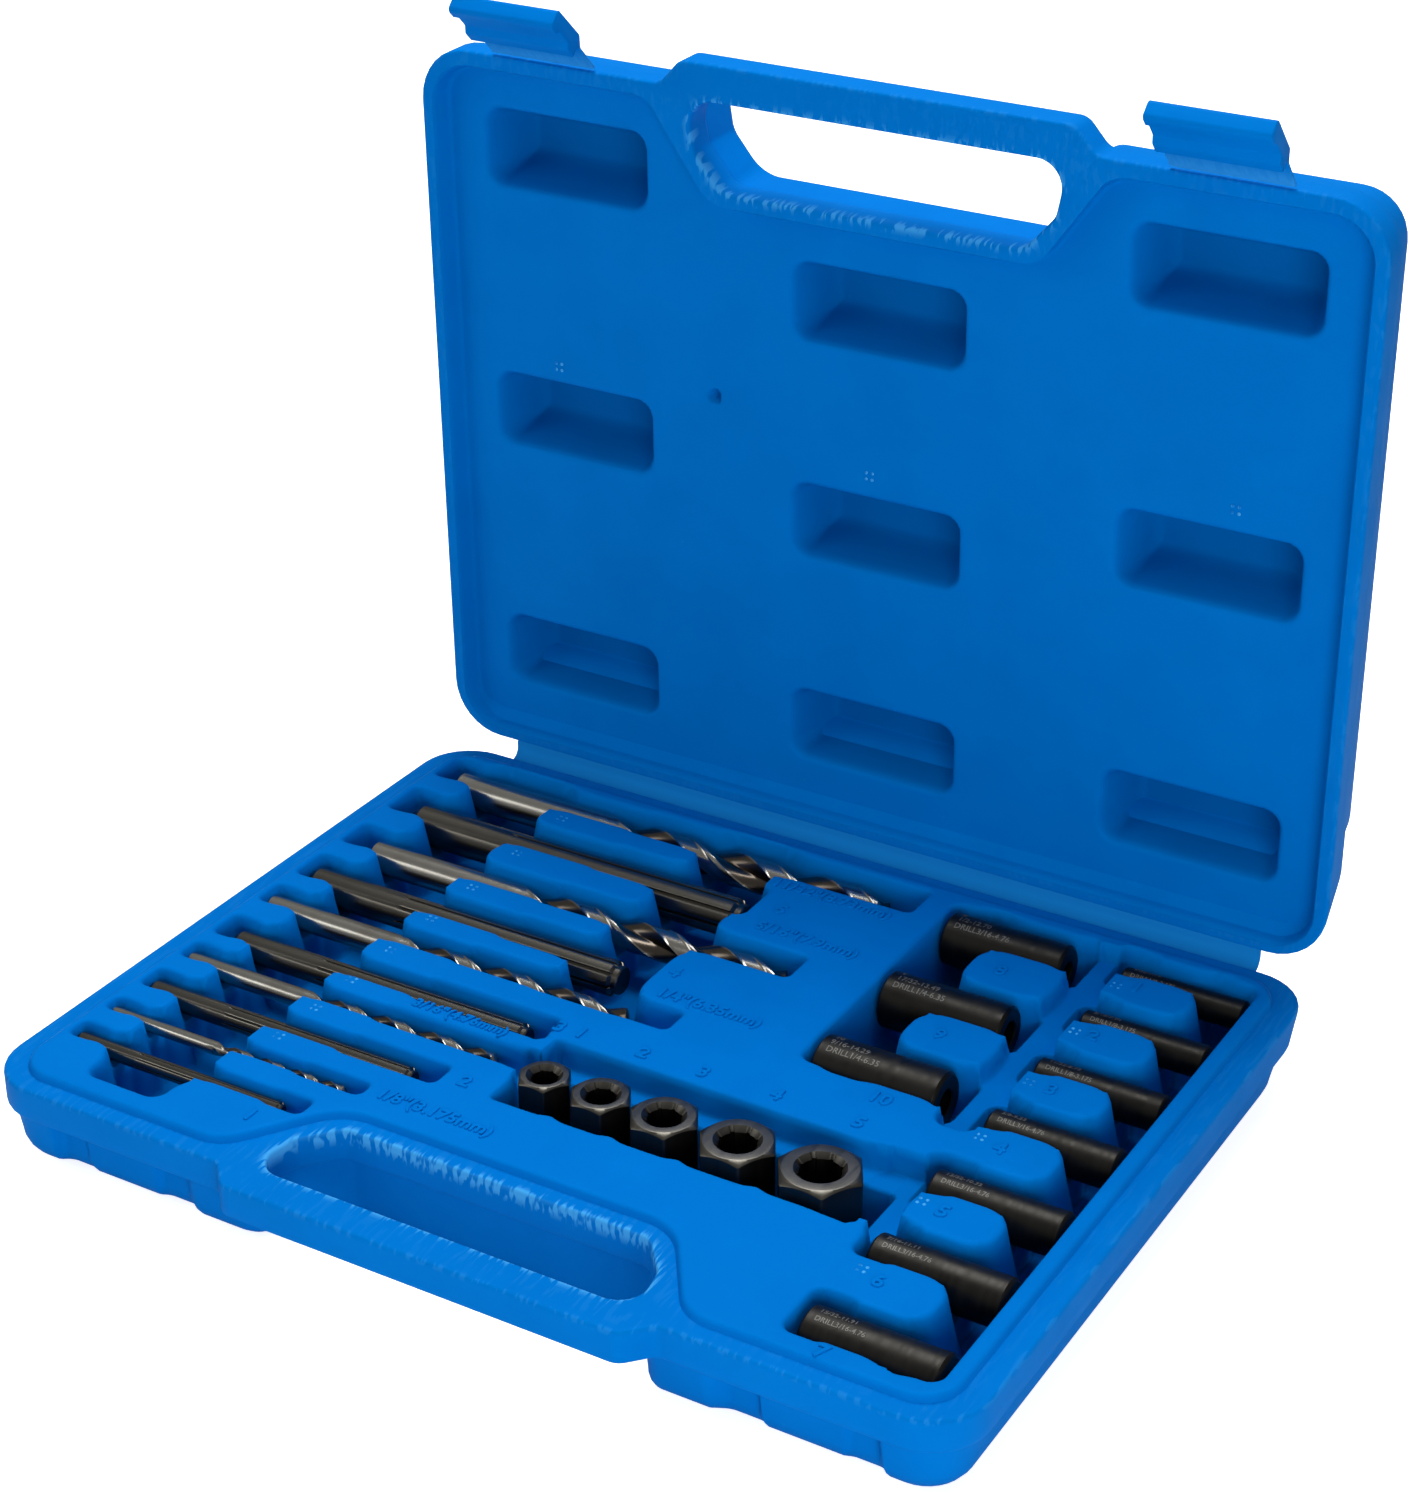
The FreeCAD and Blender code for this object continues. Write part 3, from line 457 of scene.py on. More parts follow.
@dataclass
class Relief:
    """A moulded surface on a fine grid, cut at an outline and divided into strips."""

    name: str
    spacing: float
    strips: int
    # Heights at which painted shade begins and is full: it darkens the plastic down in the wells and pockets.
    shade: tuple[float, float] = (-4.0, -20.0)

    def grid(self) -> tuple[np.ndarray, np.ndarray]:
        """Return the grid's points, across and along."""
        across = np.arange(0.0, CASE.width + self.spacing, self.spacing)
        along = np.arange(0.0, CASE.depth + self.spacing, self.spacing)
        return np.meshgrid(across, along, indexing="ij")

    def build(
        self, x: np.ndarray, y: np.ndarray, z: np.ndarray, keep: np.ndarray, matrix: Matrix
    ) -> list[bpy.types.Object]:
        """Make the strips as objects.

        Args:
            x: the points' distances across.
            y: the points' distances along.
            z: their heights.
            keep: which points belong to the surface.
            matrix: from millimetres to the shared frame.

        Returns:
            One object for each strip.
        """
        made = []
        edges = np.linspace(0, x.shape[0] - 1, self.strips + 1).astype(int)
        for number, (low, high) in enumerate(zip(edges, edges[1:]), start=1):
            part = slice(low, high + 1)
            made.append(self.strip(number, x[part], y[part], z[part], keep[part], matrix))
        return made

    def strip(
        self, number: int, x: np.ndarray, y: np.ndarray, z: np.ndarray, keep: np.ndarray, matrix: Matrix
    ) -> bpy.types.Object:
        """Make one strip of the surface from the grid's quads."""
        index = np.arange(x.size).reshape(x.shape)
        whole = keep[:-1, :-1] & keep[1:, :-1] & keep[1:, 1:] & keep[:-1, 1:]
        quads = np.stack(
            [index[:-1, :-1][whole], index[1:, :-1][whole], index[1:, 1:][whole], index[:-1, 1:][whole]], axis=1
        )
        used, renumbered = np.unique(quads, return_inverse=True)
        points = np.stack([x.ravel(), y.ravel(), z.ravel()], axis=1)[used]
        quads = renumbered.reshape(quads.shape)
        mesh = bpy.data.meshes.new("%s_%d" % (self.name, number))
        mesh.vertices.add(len(points))
        mesh.vertices.foreach_set("co", points.ravel())
        mesh.loops.add(quads.size)
        mesh.loops.foreach_set("vertex_index", quads.ravel())
        mesh.polygons.add(len(quads))
        mesh.polygons.foreach_set("loop_start", np.arange(0, quads.size, 4))
        mesh.update(calc_edges=True)
        mesh.transform(matrix)
        mesh.polygons.foreach_set("use_smooth", [True] * len(mesh.polygons))
        # Painted shade: the attribute goes negative below the first shade height, so the plastic is painted darker deep
        # in the wells and pockets.
        wear_and_shade = mesh.attributes.new("wear_and_shade", "FLOAT", "POINT")
        start, end = self.shade
        wear_and_shade.data.foreach_set("value", -np.clip((points[:, 2] - start) / (end - start), 0, 1).astype(np.float32))
        return link(mesh.name, mesh)


@dataclass
class TrayRelief(Relief):
    """The deck of the base with its slots, troughs, bays and nut trench."""

    rounding: float = 1.4
    slope: float = 7.5
    pinch: float = 0.7

    def slot_inside(self, x: np.ndarray, y: np.ndarray, rod: Rod) -> np.ndarray:
        """Return the distance inside one rod's slot, which is narrower where the tray grips the rod."""
        radius = rod.diameter / 2
        half = radius + 0.5 + (CASE.deck - ROD_TOP + radius) * math.tan(math.radians(7)) + 0.9 * self.rounding
        tooth = np.exp(-(((x - 17.0) / 2.8) ** 2))
        grip_end = 56.0 + 1.1 * rod.diameter
        pad = step_up(x, 41.5, 45.5) * (1 - step_up(x, grip_end, grip_end + 3.5))
        corner = min(half - 0.05, 3.0)
        inside = box_distance(x, y, (6.9, rod.slot_end + 0.4, rod.front - half, rod.front + half), corner)
        return inside - self.pinch * np.maximum(tooth, pad)

    def sleeve_inside(self, x: np.ndarray, y: np.ndarray, sleeve: Sleeve) -> np.ndarray:
        """Return the distance inside one sleeve's slot, which is wider at its left end."""
        radius = sleeve.diameter / 2
        half = radius + 0.3 + (CASE.deck - SLEEVE_AXIS) * math.tan(math.radians(7)) + 0.9 * self.rounding
        column = sleeve.spot is Spot.COLUMN
        left, right = (195.2, 222.0) if column else (162.0, 190.6)
        wide_end = 203.5 if column else 160.0
        wide = 0.8 * (1 - step_up(x, wide_end, wide_end + 2.5))
        return box_distance(x, y, (left, right, sleeve.front - half, sleeve.front + half), 3.4) + wide - 0.2

    def heights(self, x: np.ndarray, y: np.ndarray) -> tuple[np.ndarray, np.ndarray]:
        """Work out the surface.

        Args:
            x: distances from the left.
            y: distances from the front.

        Returns:
            The heights, and the distance inside the deck's outline.
        """
        depth = CASE.depth
        deck = box_distance(x, y, (6.0, CASE.width - 6.0, 4.6, depth - 5.9), 9.0)
        deck = soft_min(deck, -bay_distance(x, y, 60.1, 41.4, 27.8), 5.0)
        top = CASE.deck + 0.1 - drop(1.15 - deck, 1.2, 3.4)
        top = np.maximum(top, -1.2)
        wells: list[tuple[np.ndarray, float]] = []
        for rod in DRILLS + EXTRACTORS:
            wells.append((self.slot_inside(x, y, rod), ROD_TOP - rod.diameter - 0.5))
        for sleeve in SLEEVES:
            wells.append((self.sleeve_inside(x, y, sleeve), SLEEVE_AXIS - sleeve.diameter / 2 - 0.5))
        for box in (
            (20.6, 43.2, 8.8, 174.0), (88.0, 108.6, 90.4, 174.0), (218.4, 231.4, 8.7, 173.6), (151.7, 168.7, 93.0, 173.0),
        ):
            wells.append((box_distance(x, y, box, 4.5), -16.0))
        wells.append((box_distance(x, y, (188.4, 199.3, 86.2, 173.2), 4.0), -2.8))
        wells.append((box_distance(x, y, (184.0, 199.4, 48.6, 75.2), 4.0), -4.2))
        bumps = sum(1.5 * np.exp(-(((x - spot) / 2.2) ** 2)) for spot in (118.6, 133.6, 150.2, 169.2))
        trench = box_distance(x, y - 0.6 * bumps, (102.6, 191.9, 46.0, 67.0), 2.0) * 1.7
        wells.append((trench, -15.9))
        ledge = box_distance(x, y, (102.9, 191.9, 60.0, 74.4), 2.5)
        wells.append((ledge, -4.2))
        inside = wells[0][0]
        floor = wells[0][1] - self.slope * np.minimum(wells[0][0] - 0.8, 0) * 1.6
        for distance, bottom in wells[1:]:
            inside = soft_max(inside, distance, 7.0)
            floor = soft_min(floor, bottom - self.slope * np.minimum(distance - 0.8, 0) * 1.6, 1.2)
        wall = top - drop(inside, self.rounding, self.slope)
        height = soft_max(wall, np.minimum(floor, top), 1.2)
        height = np.where(inside < -0.2, top, np.minimum(height, top))
        return height, deck

    def make(self) -> list[bpy.types.Object]:
        """Make the tray's strips."""
        x, y = self.grid()
        z, deck = self.heights(x, y)
        return self.build(x, y, z, deck > -1.9, tray_matrix())


@dataclass
class PanelRelief(Relief):
    """The sunk panel of the lid with its nine stiffening pockets."""

    columns: tuple[tuple[float, float, float], ...] = ((14.2, 15.0, 66.8), (97.3, 15.0, 55.0), (180.4, 15.0, 66.8))

    def heights(self, x: np.ndarray, y: np.ndarray) -> tuple[np.ndarray, np.ndarray]:
        """Work out the surface.

        Args:
            x: distances from the left.
            y: distances out from the hinge edge.

        Returns:
            The heights, and the distance inside the panel's outline.
        """
        depth = CASE.depth
        panel = box_distance(x, y, (3.5, CASE.width - 3.5, 3.2, depth - 3.9), 10.0)
        panel = soft_min(panel, -bay_distance(x, depth - y, 58.8, 40.2, 27.0), 5.0)
        floor = np.full_like(x, -CASE.recess)
        for left, first, pitch in self.columns:
            for row in range(3):
                front = first + row * pitch
                pocket = box_distance(x, y, (left, left + 45.4, front, front + 20.0), 5.0)
                sunk = -CASE.recess - drop(pocket + 0.5, 1.3, 3.1)
                floor = np.minimum(floor, soft_max(sunk, np.full_like(x, -19.2), 5.0))
        vent = np.hypot(x - 77.0, y - 106.6)
        floor = np.where(vent < 1.5, np.minimum(floor, -CASE.recess - 3.0), floor)
        height = soft_max(0.0 - drop(panel + 0.75, 0.9, 6.0), floor, 1.6)
        height = np.minimum(height, 0.0) - 0.02 * (panel < -0.4)
        return height, panel

    def make(self) -> list[bpy.types.Object]:
        """Make the panel's strips."""
        x, y = self.grid()
        z, panel = self.heights(x, y)
        return self.build(x, y, z, panel > -1.2, lid_matrix())


# Case halves

@dataclass
class CaseHalf:
    """The outside of one moulded half: rim, band, handle bar, hand hole, tub and bottom."""

    side: Side
    slope_top: float
    slope_step: float
    slope_foot: float
    inner_inset: float
    trim: float = 1.0
    steps: int = 8

    def band_outline(self, lean: float) -> Outline:
        """Return the rim band's outline, with its hinge edge moved in by lean."""
        w, d, r = CASE.width, CASE.depth - lean, CASE.rim_corner
        return Outline([
            (0, 0, r), (66.0, 0, 4), (71.5, -6.1, 4.5), (w - 71.5, -6.1, 4.5), (w - 66.0, 0, 4), (w, 0, r), (w, d, r), (0, d, r),
        ])

    def hole_outline(self) -> Outline:
        """Return the hand hole's outline."""
        m = CASE.width / 2
        return Outline([
            (m - 47.4, 2.7, 6), (m + 47.4, 2.7, 6), (m + 45, 15, 4), (m + 38, 23.4, 5), (m - 38, 23.4, 5), (m - 45, 15, 4),
        ])

    def tub_outline(self, lean: float, bays: float, inset: float) -> Outline:
        """Return the tub's outline below the band.

        Args:
            lean: how far the hinge edge is moved in.
            bays: how deep the latch bays are, from 0 to 1.
            inset: how far the wall has leaned in, all round but for most of the hand hole's side.

        Returns:
            The outline at the step under the band.
        """
        w, d, s = CASE.width, CASE.depth - lean - 1.1, CASE.step
        m = w / 2
        back = 0.9 * inset
        left = [
            (m - 48.8 + 1.01 * back, s, 5.0 + 0.8 * inset), (m - 46.6 + 0.945 * back, 15.6 - 0.425 * back, 2.0),
            (m - 39.0 + 0.474 * back, 24.9 - back, 5.0),
        ]
        if bays > 0:
            left = [
                (17.8, s, 1.5), (19.6, s + 2.7 * bays, 1.2), (25.0, s + 2.7 * bays, 1.0), (26.6, s + 1.5 * bays, 1.0),
                (45.0, s + 1.5 * bays, 1.0), (46.4, s + 3.2 * bays, 1.0), (52.6, s + 3.2 * bays, 1.5), (55.9, s, 5.0),
            ] + left
        right = [(w - x, y, r) for x, y, r in reversed(left)]
        return Outline([(s, s, 11.7)] + left + right + [(w - s, s, 11.7), (w - s, d, 11.0), (s, d, 11.0)])

    def place(self, outline: Outline) -> np.ndarray:
        """Return an outline's points, turned front to back for the lid."""
        ring = outline.points(self.steps)
        if self.side is Side.LID:
            ring = np.column_stack([ring[:, 0], CASE.depth - ring[:, 1]])
        return ring

    def inner_outline(self) -> Outline:
        """Return the outline at which the tray or panel begins."""
        w, d, m = CASE.width, CASE.depth, CASE.width / 2
        if self.side is Side.BASE:
            corners = [
                (6, 4.6, 9), (m - 59.0, 4.6, 7), (m - 42.9, 27.8, 7), (m + 42.9, 27.8, 7), (m + 59.0, 4.6, 7),
                (w - 6, 4.6, 9), (w - 6, d - 5.9, 9), (6, d - 5.9, 9),
            ]
        else:
            corners = [
                (3.5, 3.9, 10), (m - 57.8, 3.9, 7), (m - 41.6, 27.0, 9), (m + 41.6, 27.0, 9), (m + 57.8, 3.9, 7),
                (w - 3.5, 3.9, 10), (w - 3.5, d - 3.2, 10), (3.5, d - 3.2, 10),
            ]
        return Outline(corners).offset(self.inner_inset)

    def lean_at(self, height: float) -> float:
        """Return how far the hinge-side wall leans in at a height below the parting plane."""
        stops = [0.0, -CASE.band, -CASE.band - 1.3, -16.0, -CASE.height]
        leans = [0.0, self.slope_top, self.slope_step, self.slope_foot, self.slope_foot + 1.0]
        return float(np.interp(-height, [-s for s in stops], leans))

    def build(self, name: str, matrix: Matrix) -> bpy.types.Object:
        """Build the half's outside as one object."""
        maker = MeshMaker()
        flip = self.side is Side.LID
        hole = self.hole_outline()
        top_rings = []
        for inset, height, mark in (
            (1.3, 0.0, 0.0), (0.8, 0.0, 0.3), (0.45, -0.08, 0.55), (0.2, -0.28, 0.6), (0.0, -0.75, 0.45), (0.0, -1.5, 0.0),
        ):
            ring = self.band_outline(self.lean_at(height)).offset(inset)
            top_rings.append((level(self.place(ring), height), 0.22 * mark * self.trim))
        for height in (-2.5, -5.0, -CASE.band + 0.7):
            top_rings.append((level(self.place(self.band_outline(self.lean_at(height))), height), 0.0))
        for inset, height in ((0.2, -CASE.band + 0.2), (0.7, -CASE.band)):
            top_rings.append((level(self.place(self.band_outline(self.lean_at(height)).offset(inset)), height), 0.0))
        maker.wall(top_rings, flip=not flip)
        hole_rings = []
        for inset, height, mark in (
            (-2.2, 0.0, 0.0), (-1.3, 0.0, 0.3), (-0.8, 0.0, 0.6), (-0.45, -0.08, 0.9), (-0.18, -0.3, 1.0),
            (0.0, -0.8, 0.95), (0.0, -1.8, 0.75), (0.0, -3.2, 0.3), (0.0, -4.2, 0.0),
            (0.0, -CASE.band + 0.8, 0.0), (-0.2, -CASE.band + 0.2, 0.0), (-0.7, -CASE.band, 0.0),
        ):
            hole_rings.append((level(self.place(hole.offset(inset)), height), mark * self.trim))
        maker.wall(hole_rings, flip=flip)
        maker.sheet([top_rings[0][0][:, :2], self.place(self.inner_outline()), hole_rings[0][0][:, :2]], 0.0, True, 0.05)
        tub_rings = []
        bottom_round = 7.5 if self.side is Side.BASE else 5.0
        base_height = -CASE.height + bottom_round
        spots = [(0.0, -CASE.band, 1.0), (0.15, -CASE.band - 0.6, 1.0), (0.4, -12.0, 1.0), (0.8, base_height, 0.9)]
        for k in range(1, 7):
            angle = k / 6 * math.pi / 2
            spots.append((0.8 + bottom_round * (1 - math.cos(angle)), base_height - bottom_round * math.sin(angle), 0.9 - 0.1 * k))
        spots.append((1.6 + bottom_round, -CASE.height, 0.3))
        for inset, height, bays in spots:
            outline = self.tub_outline(self.lean_at(height), bays if self.side is Side.BASE else 0.0, inset)
            tub_rings.append((level(self.place(outline.offset(inset)), height), 0.0))
        maker.wall(tub_rings, flip=not flip)
        maker.sheet([top_rings[-1][0][:, :2], tub_rings[0][0][:, :2], hole_rings[-1][0][:, :2]], -CASE.band, False)
        maker.sheet([tub_rings[-1][0][:, :2]], -CASE.height, False)
        return maker.build(name, matrix, sharp=50.0)


@dataclass
class HingeFilm:
    """The thin moulded strip that joins the halves along the back."""

    left: float = 19.0
    right: float = 225.0
    thick: float = 0.7

    def path(self) -> np.ndarray:
        """Return the strip's middle line from the base's back edge to the lid's hinge edge."""
        depth = CASE.depth
        return np.array([
            (depth - 0.6, -1.0), (depth + 0.25, -0.75), (depth + 1.2, -0.1), (depth + 1.95, 0.9),
            (depth + 2.35, 2.0), (depth + 2.4, 3.0), (depth + 2.35, 3.9), (depth + 2.4, 4.8),
        ])

    def build(self) -> bpy.types.Object:
        """Build the strip as one closed sheet with rounded ends."""
        maker = MeshMaker()
        line = self.path()
        tangent = np.gradient(line, axis=0)
        tangent /= np.linalg.norm(tangent, axis=1)[:, None]
        normal = np.column_stack([-tangent[:, 1], tangent[:, 0]])
        section = np.vstack([line + normal * self.thick / 2, (line - normal * self.thick / 2)[::-1]])
        marks = np.concatenate([np.ones(len(line)), np.ones(len(line))])
        ends = np.array([self.left, self.left + 0.6] + list(np.arange(self.left + 6, self.right - 4, 6.0)) + [self.right - 0.6, self.right])
        rings = []
        for number, x in enumerate(ends):
            shrink = 0.75 if number in (0, len(ends) - 1) else 1.0
            middle = section.mean(axis=0)
            spots = middle + (section - middle) * shrink
            rings.append((np.column_stack([np.full(len(spots), x), spots]), marks))
        n = len(section)
        firsts = maker.wall(rings, flip=True)
        for first, turn in ((firsts[0], False), (firsts[-1], True)):
            for i in range(n // 2 - 1):
                face = (first + i, first + i + 1, first + n - 2 - i, first + n - 1 - i)
                maker.faces.append(tuple(reversed(face)) if turn else face)
        return maker.build("lid_hinge_strip", tray_matrix(), sharp=60.0)


@dataclass
class Case:
    """The moulded case: both halves, the hinge strip, the latches and the raised figures."""

    grid: float = 0.45

    def build(self, finishes: "Finishes") -> None:
        """Build and dress every moulded piece."""
        base = CaseHalf(Side.BASE, 5.0, 7.0, 9.0, 0.25).build("case_base_shell", tray_matrix())
        tray = TrayRelief("case_base_tray", self.grid, 4).make()
        lid = CaseHalf(Side.LID, 10.0, 14.0, 18.4, -0.45, 0.6).build("case_lid_shell", lid_matrix())
        panel = PanelRelief("case_lid_panel", 0.6, 2).make()
        for piece in [base] + tray:
            self.settle(piece, "base", "case_plastic", finishes.plastic)
            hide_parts("case_base")
        for piece in [lid] + panel:
            self.settle(piece, "lid", "case_plastic", finishes.plastic)
            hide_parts("case_lid")
        strip = HingeFilm().build()
        dress(strip, finishes.film)
        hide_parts("lid_hinge")
        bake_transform(strip)
        for number, piece in enumerate(self.figures(), start=1):
            self.settle(piece, "base", "case_plastic", finishes.plastic)
            LOG.info("figures %d: %d faces", number, len(piece.data.polygons))
        self.marks(finishes.plastic)
        for side in ("latch_left", "latch_right"):
            self.latch(side, finishes)

    def marks(self, material: bpy.types.Material) -> None:
        """Set the four-dot tool marks beside the slots and on the panel."""
        marks = ToolMarks()
        tree = marks.tree()
        rows = sorted(rod.front for rod in DRILLS + EXTRACTORS)
        deck = [Vector((49.5, (low + high) / 2 + 0.6, CASE.deck)) for low, high in zip(rows[1:], rows[2:])]
        deck += [Vector((201.0, sleeve.front - 11.4, CASE.deck)) for sleeve in SLEEVES if sleeve.spot is Spot.COLUMN]
        deck = [spot for spot in deck if spot.y > 12]
        panel = [Vector((x, v, -CASE.recess)) for x, v in ((33.0, 105.5), (118.5, 95.0), (209.0, 106.6))]
        self.settle(marks.build(tree, "deck_marks", deck, tray_matrix(), material), "base", "case_plastic", material)
        self.settle(marks.build(tree, "panel_marks", panel, lid_matrix(), material), "lid", "case_plastic", material)

    def settle(self, piece: bpy.types.Object, body: str, slot: str, material: bpy.types.Material) -> None:
        """Dress one piece and make it ride on a body."""
        dress(piece, material)
        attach(piece, body)
        LOG.info("%s: %d faces", piece.name, len(piece.data.polygons))

    def latch(self, name: str, finishes: "Finishes") -> None:
        """Build one latch from its solid, with eased edges and a paler film root."""
        piece = eased_copy(name, name + "_tab", 0.35, 3)
        corner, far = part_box(name)
        root = Vector((0.0, far[1], corner[2]))
        tip = Vector((0.0, corner[1], far[2]))
        along = (tip - root).normalized()
        wear_and_shade = piece.data.attributes.new("wear_and_shade", "FLOAT", "POINT")
        values = []
        for vertex in piece.data.vertices:
            reach = (vertex.co - root).dot(along) / MM
            values.append(float(np.clip(1.0 - (reach - 7.0) / 2.0, 0, 1)))
        wear_and_shade.data.foreach_set("value", values)
        self.settle(piece, name, "case_plastic", finishes.latch)
        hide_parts(name)

    def figures(self) -> list[bpy.types.Object]:
        """Raise the plain figures beside the slots on the deck."""
        words: list[tuple[str, float, float, float]] = [
            ("1", 63.4, 14.9, 3.8), ("2", 95.7, 48.6, 3.8), ("3", 101.4, 77.4, 3.8), ("4", 111.7, 110.0, 3.8), ("5", 118.7, 147.0, 3.8),
            ("1", 106.9, 77.6, 3.8), ("2", 123.1, 77.8, 3.8), ("3", 138.3, 78.0, 3.8), ("4", 156.4, 78.4, 3.8), ("5", 176.6, 78.2, 3.8),
            ("10", 176.2, 88.5, 3.8), ("8", 175.6, 148.8, 3.8), ("9", 175.8, 117.7, 3.8),
            ("1", 205.6, 157.9, 3.8), ("2", 205.4, 134.5, 3.8), ("3", 206.5, 110.3, 3.8), ("4", 206.6, 84.8, 3.8),
            ("5", 206.3, 58.8, 3.8), ("6", 205.8, 31.8, 3.8), ("7", 206.5, 6.9, 3.6),
            ('1/8"(3.175mm)', 96.8, 35.6, 3.4), ('3/16"(4.76mm)', 80.1, 69.5, 2.9), ('1/4"(6.35mm)', 126.0, 101.2, 3.4),
            ('5/16"(7.9mm)', 130.6, 138.2, 3.4), ('11/32"(8.73mm)', 126.6, 157.7, 3.4),
        ]
        made = []
        for name, entries in (("raised_numbers", words[:20]), ("raised_sizes", words[20:])):
            meshes = []
            for text, x, y, size in entries:
                mesh = solid_word(text, size, 0.17)
                mesh.transform(Matrix.Translation(Vector((x, y, CASE.deck + 0.17))))
                meshes.append(mesh)
            made.append(joined(meshes, name, tray_matrix(), 50.0))
        return made


def solid_word(words: str, size: float, height: float, align: str = "CENTER") -> bpy.types.Mesh:
    """Make one word as a mesh with eased edges, lying round its own middle.

    Args:
        words: what it says.
        size: the height of its figures, in millimetres.
        height: how far it stands out on each side of its middle plane.
        align: where the word starts from, CENTER or LEFT.

    Returns:
        A new mesh, in millimetres.
    """
    text = bpy.data.curves.new("word", "FONT")
    text.body = words
    text.size = size * 1.45
    text.align_x = align
    text.align_y = "CENTER"
    text.extrude = height
    text.bevel_depth = height
    text.bevel_resolution = 1
    text.resolution_u = 2
    carrier = bpy.data.objects.new("word", text)
    bpy.context.scene.collection.objects.link(carrier)
    bpy.context.view_layer.update()
    mesh = bpy.data.meshes.new_from_object(carrier.evaluated_get(bpy.context.evaluated_depsgraph_get()))
    bpy.data.objects.remove(carrier)
    bpy.data.curves.remove(text)
    return mesh


def joined(meshes: list[bpy.types.Mesh], name: str, matrix: Matrix, sharp: float) -> bpy.types.Object:
    """Join meshes into one finished object."""
    shape = bmesh.new()
    for mesh in meshes:
        shape.from_mesh(mesh)
        bpy.data.meshes.remove(mesh)
    whole = bpy.data.meshes.new(name)
    shape.to_mesh(whole)
    shape.free()
    whole.transform(matrix)
    finish_mesh(whole, sharp)
    return link(name, whole)


@dataclass(frozen=True)
class ToolMarks:
    """Groups of four low dots that the mould leaves on the deck and the panel, set out by Geometry Nodes."""

    pitch: float = 1.6
    dot: float = 0.45
    flatness: float = 0.7
    wear_and_shade: float = 1.0

    def tree(self) -> bpy.types.NodeTree:
        """Build the node tree: a grid of low domes on each given point."""
        tree = bpy.data.node_groups.new("tool_marks", "GeometryNodeTree")
        for label, kind, way in (
            ("Geometry", "NodeSocketGeometry", "INPUT"), ("Pitch", "NodeSocketFloat", "INPUT"), ("Dot", "NodeSocketFloat", "INPUT"),
            ("Flatness", "NodeSocketFloat", "INPUT"), ("Wear", "NodeSocketFloat", "INPUT"), ("Material", "NodeSocketMaterial", "INPUT"), ("Geometry", "NodeSocketGeometry", "OUTPUT"),
        ):
            tree.interface.new_socket(label, in_out=way, socket_type=kind)
        book = NodeBook(tree)
        given, result = book.add("NodeGroupInput"), book.add("NodeGroupOutput")
        dome = book.add("GeometryNodeMeshUVSphere")
        dome.inputs["Segments"].default_value = 12
        dome.inputs["Rings"].default_value = 8
        book.feed(dome.inputs["Radius"], given.outputs["Dot"])
        squash = book.add("ShaderNodeCombineXYZ")
        squash.inputs["X"].default_value = 1.0
        squash.inputs["Y"].default_value = 1.0
        book.feed(squash.inputs["Z"], given.outputs["Flatness"])
        low = book.add("GeometryNodeTransform")
        book.feed(low.inputs["Geometry"], dome.outputs["Mesh"])
        book.feed(low.inputs["Scale"], squash.outputs["Vector"])
        grid = book.add("GeometryNodeMeshGrid")
        grid.inputs["Vertices X"].default_value = 2
        grid.inputs["Vertices Y"].default_value = 2
        book.feed(grid.inputs["Size X"], given.outputs["Pitch"])
        book.feed(grid.inputs["Size Y"], given.outputs["Pitch"])
        four = book.add("GeometryNodeInstanceOnPoints")
        book.feed(four.inputs["Points"], grid.outputs["Mesh"])
        book.feed(four.inputs["Instance"], low.outputs["Geometry"])
        spread = book.add("GeometryNodeInstanceOnPoints")
        book.feed(spread.inputs["Points"], given.outputs["Geometry"])
        book.feed(spread.inputs["Instance"], four.outputs["Instances"])
        real = book.add("GeometryNodeRealizeInstances")
        book.feed(real.inputs["Geometry"], spread.outputs["Instances"])
        worn = book.add("GeometryNodeStoreNamedAttribute", data_type="FLOAT", domain="POINT")
        book.feed(worn.inputs["Geometry"], real.outputs["Geometry"])
        worn.inputs["Name"].default_value = "wear_and_shade"
        book.feed(worn.inputs["Value"], given.outputs["Wear"])
        paint = book.add("GeometryNodeSetMaterial")
        book.feed(paint.inputs["Geometry"], worn.outputs["Geometry"])
        book.feed(paint.inputs["Material"], given.outputs["Material"])
        book.feed(result.inputs["Geometry"], paint.outputs["Geometry"])
        return tree

    def build(self, tree: bpy.types.NodeTree, name: str, spots: list[Vector], matrix: Matrix, material: bpy.types.Material) -> bpy.types.Object:
        """Set marks on one body and return them as a plain mesh.

        Args:
            tree: the node tree.
            name: the piece's name.
            spots: the middle of each mark in case millimetres.
            matrix: the body's place.
            material: the body's plastic.

        Returns:
            The finished object.
        """
        mesh = bpy.data.meshes.new(name + "_points")
        mesh.from_pydata([tuple(spot) for spot in spots], [], [])
        carrier = link(name + "_points", mesh)
        modifier = carrier.modifiers.new("marks", "NODES")
        modifier.node_group = tree
        values = {"Pitch": self.pitch, "Dot": self.dot, "Flatness": self.flatness, "Wear": self.wear_and_shade, "Material": material}
        for item in tree.interface.items_tree:
            if item.in_out == "INPUT" and item.name in values:
                modifier[item.identifier] = values[item.name]
        bpy.context.view_layer.update()
        shaped = bpy.data.meshes.new_from_object(carrier.evaluated_get(bpy.context.evaluated_depsgraph_get()))
        bpy.data.objects.remove(carrier)
        bpy.data.meshes.remove(mesh)
        shaped.transform(matrix)
        finish_mesh(shaped, 60.0)
        return link(name, shaped)


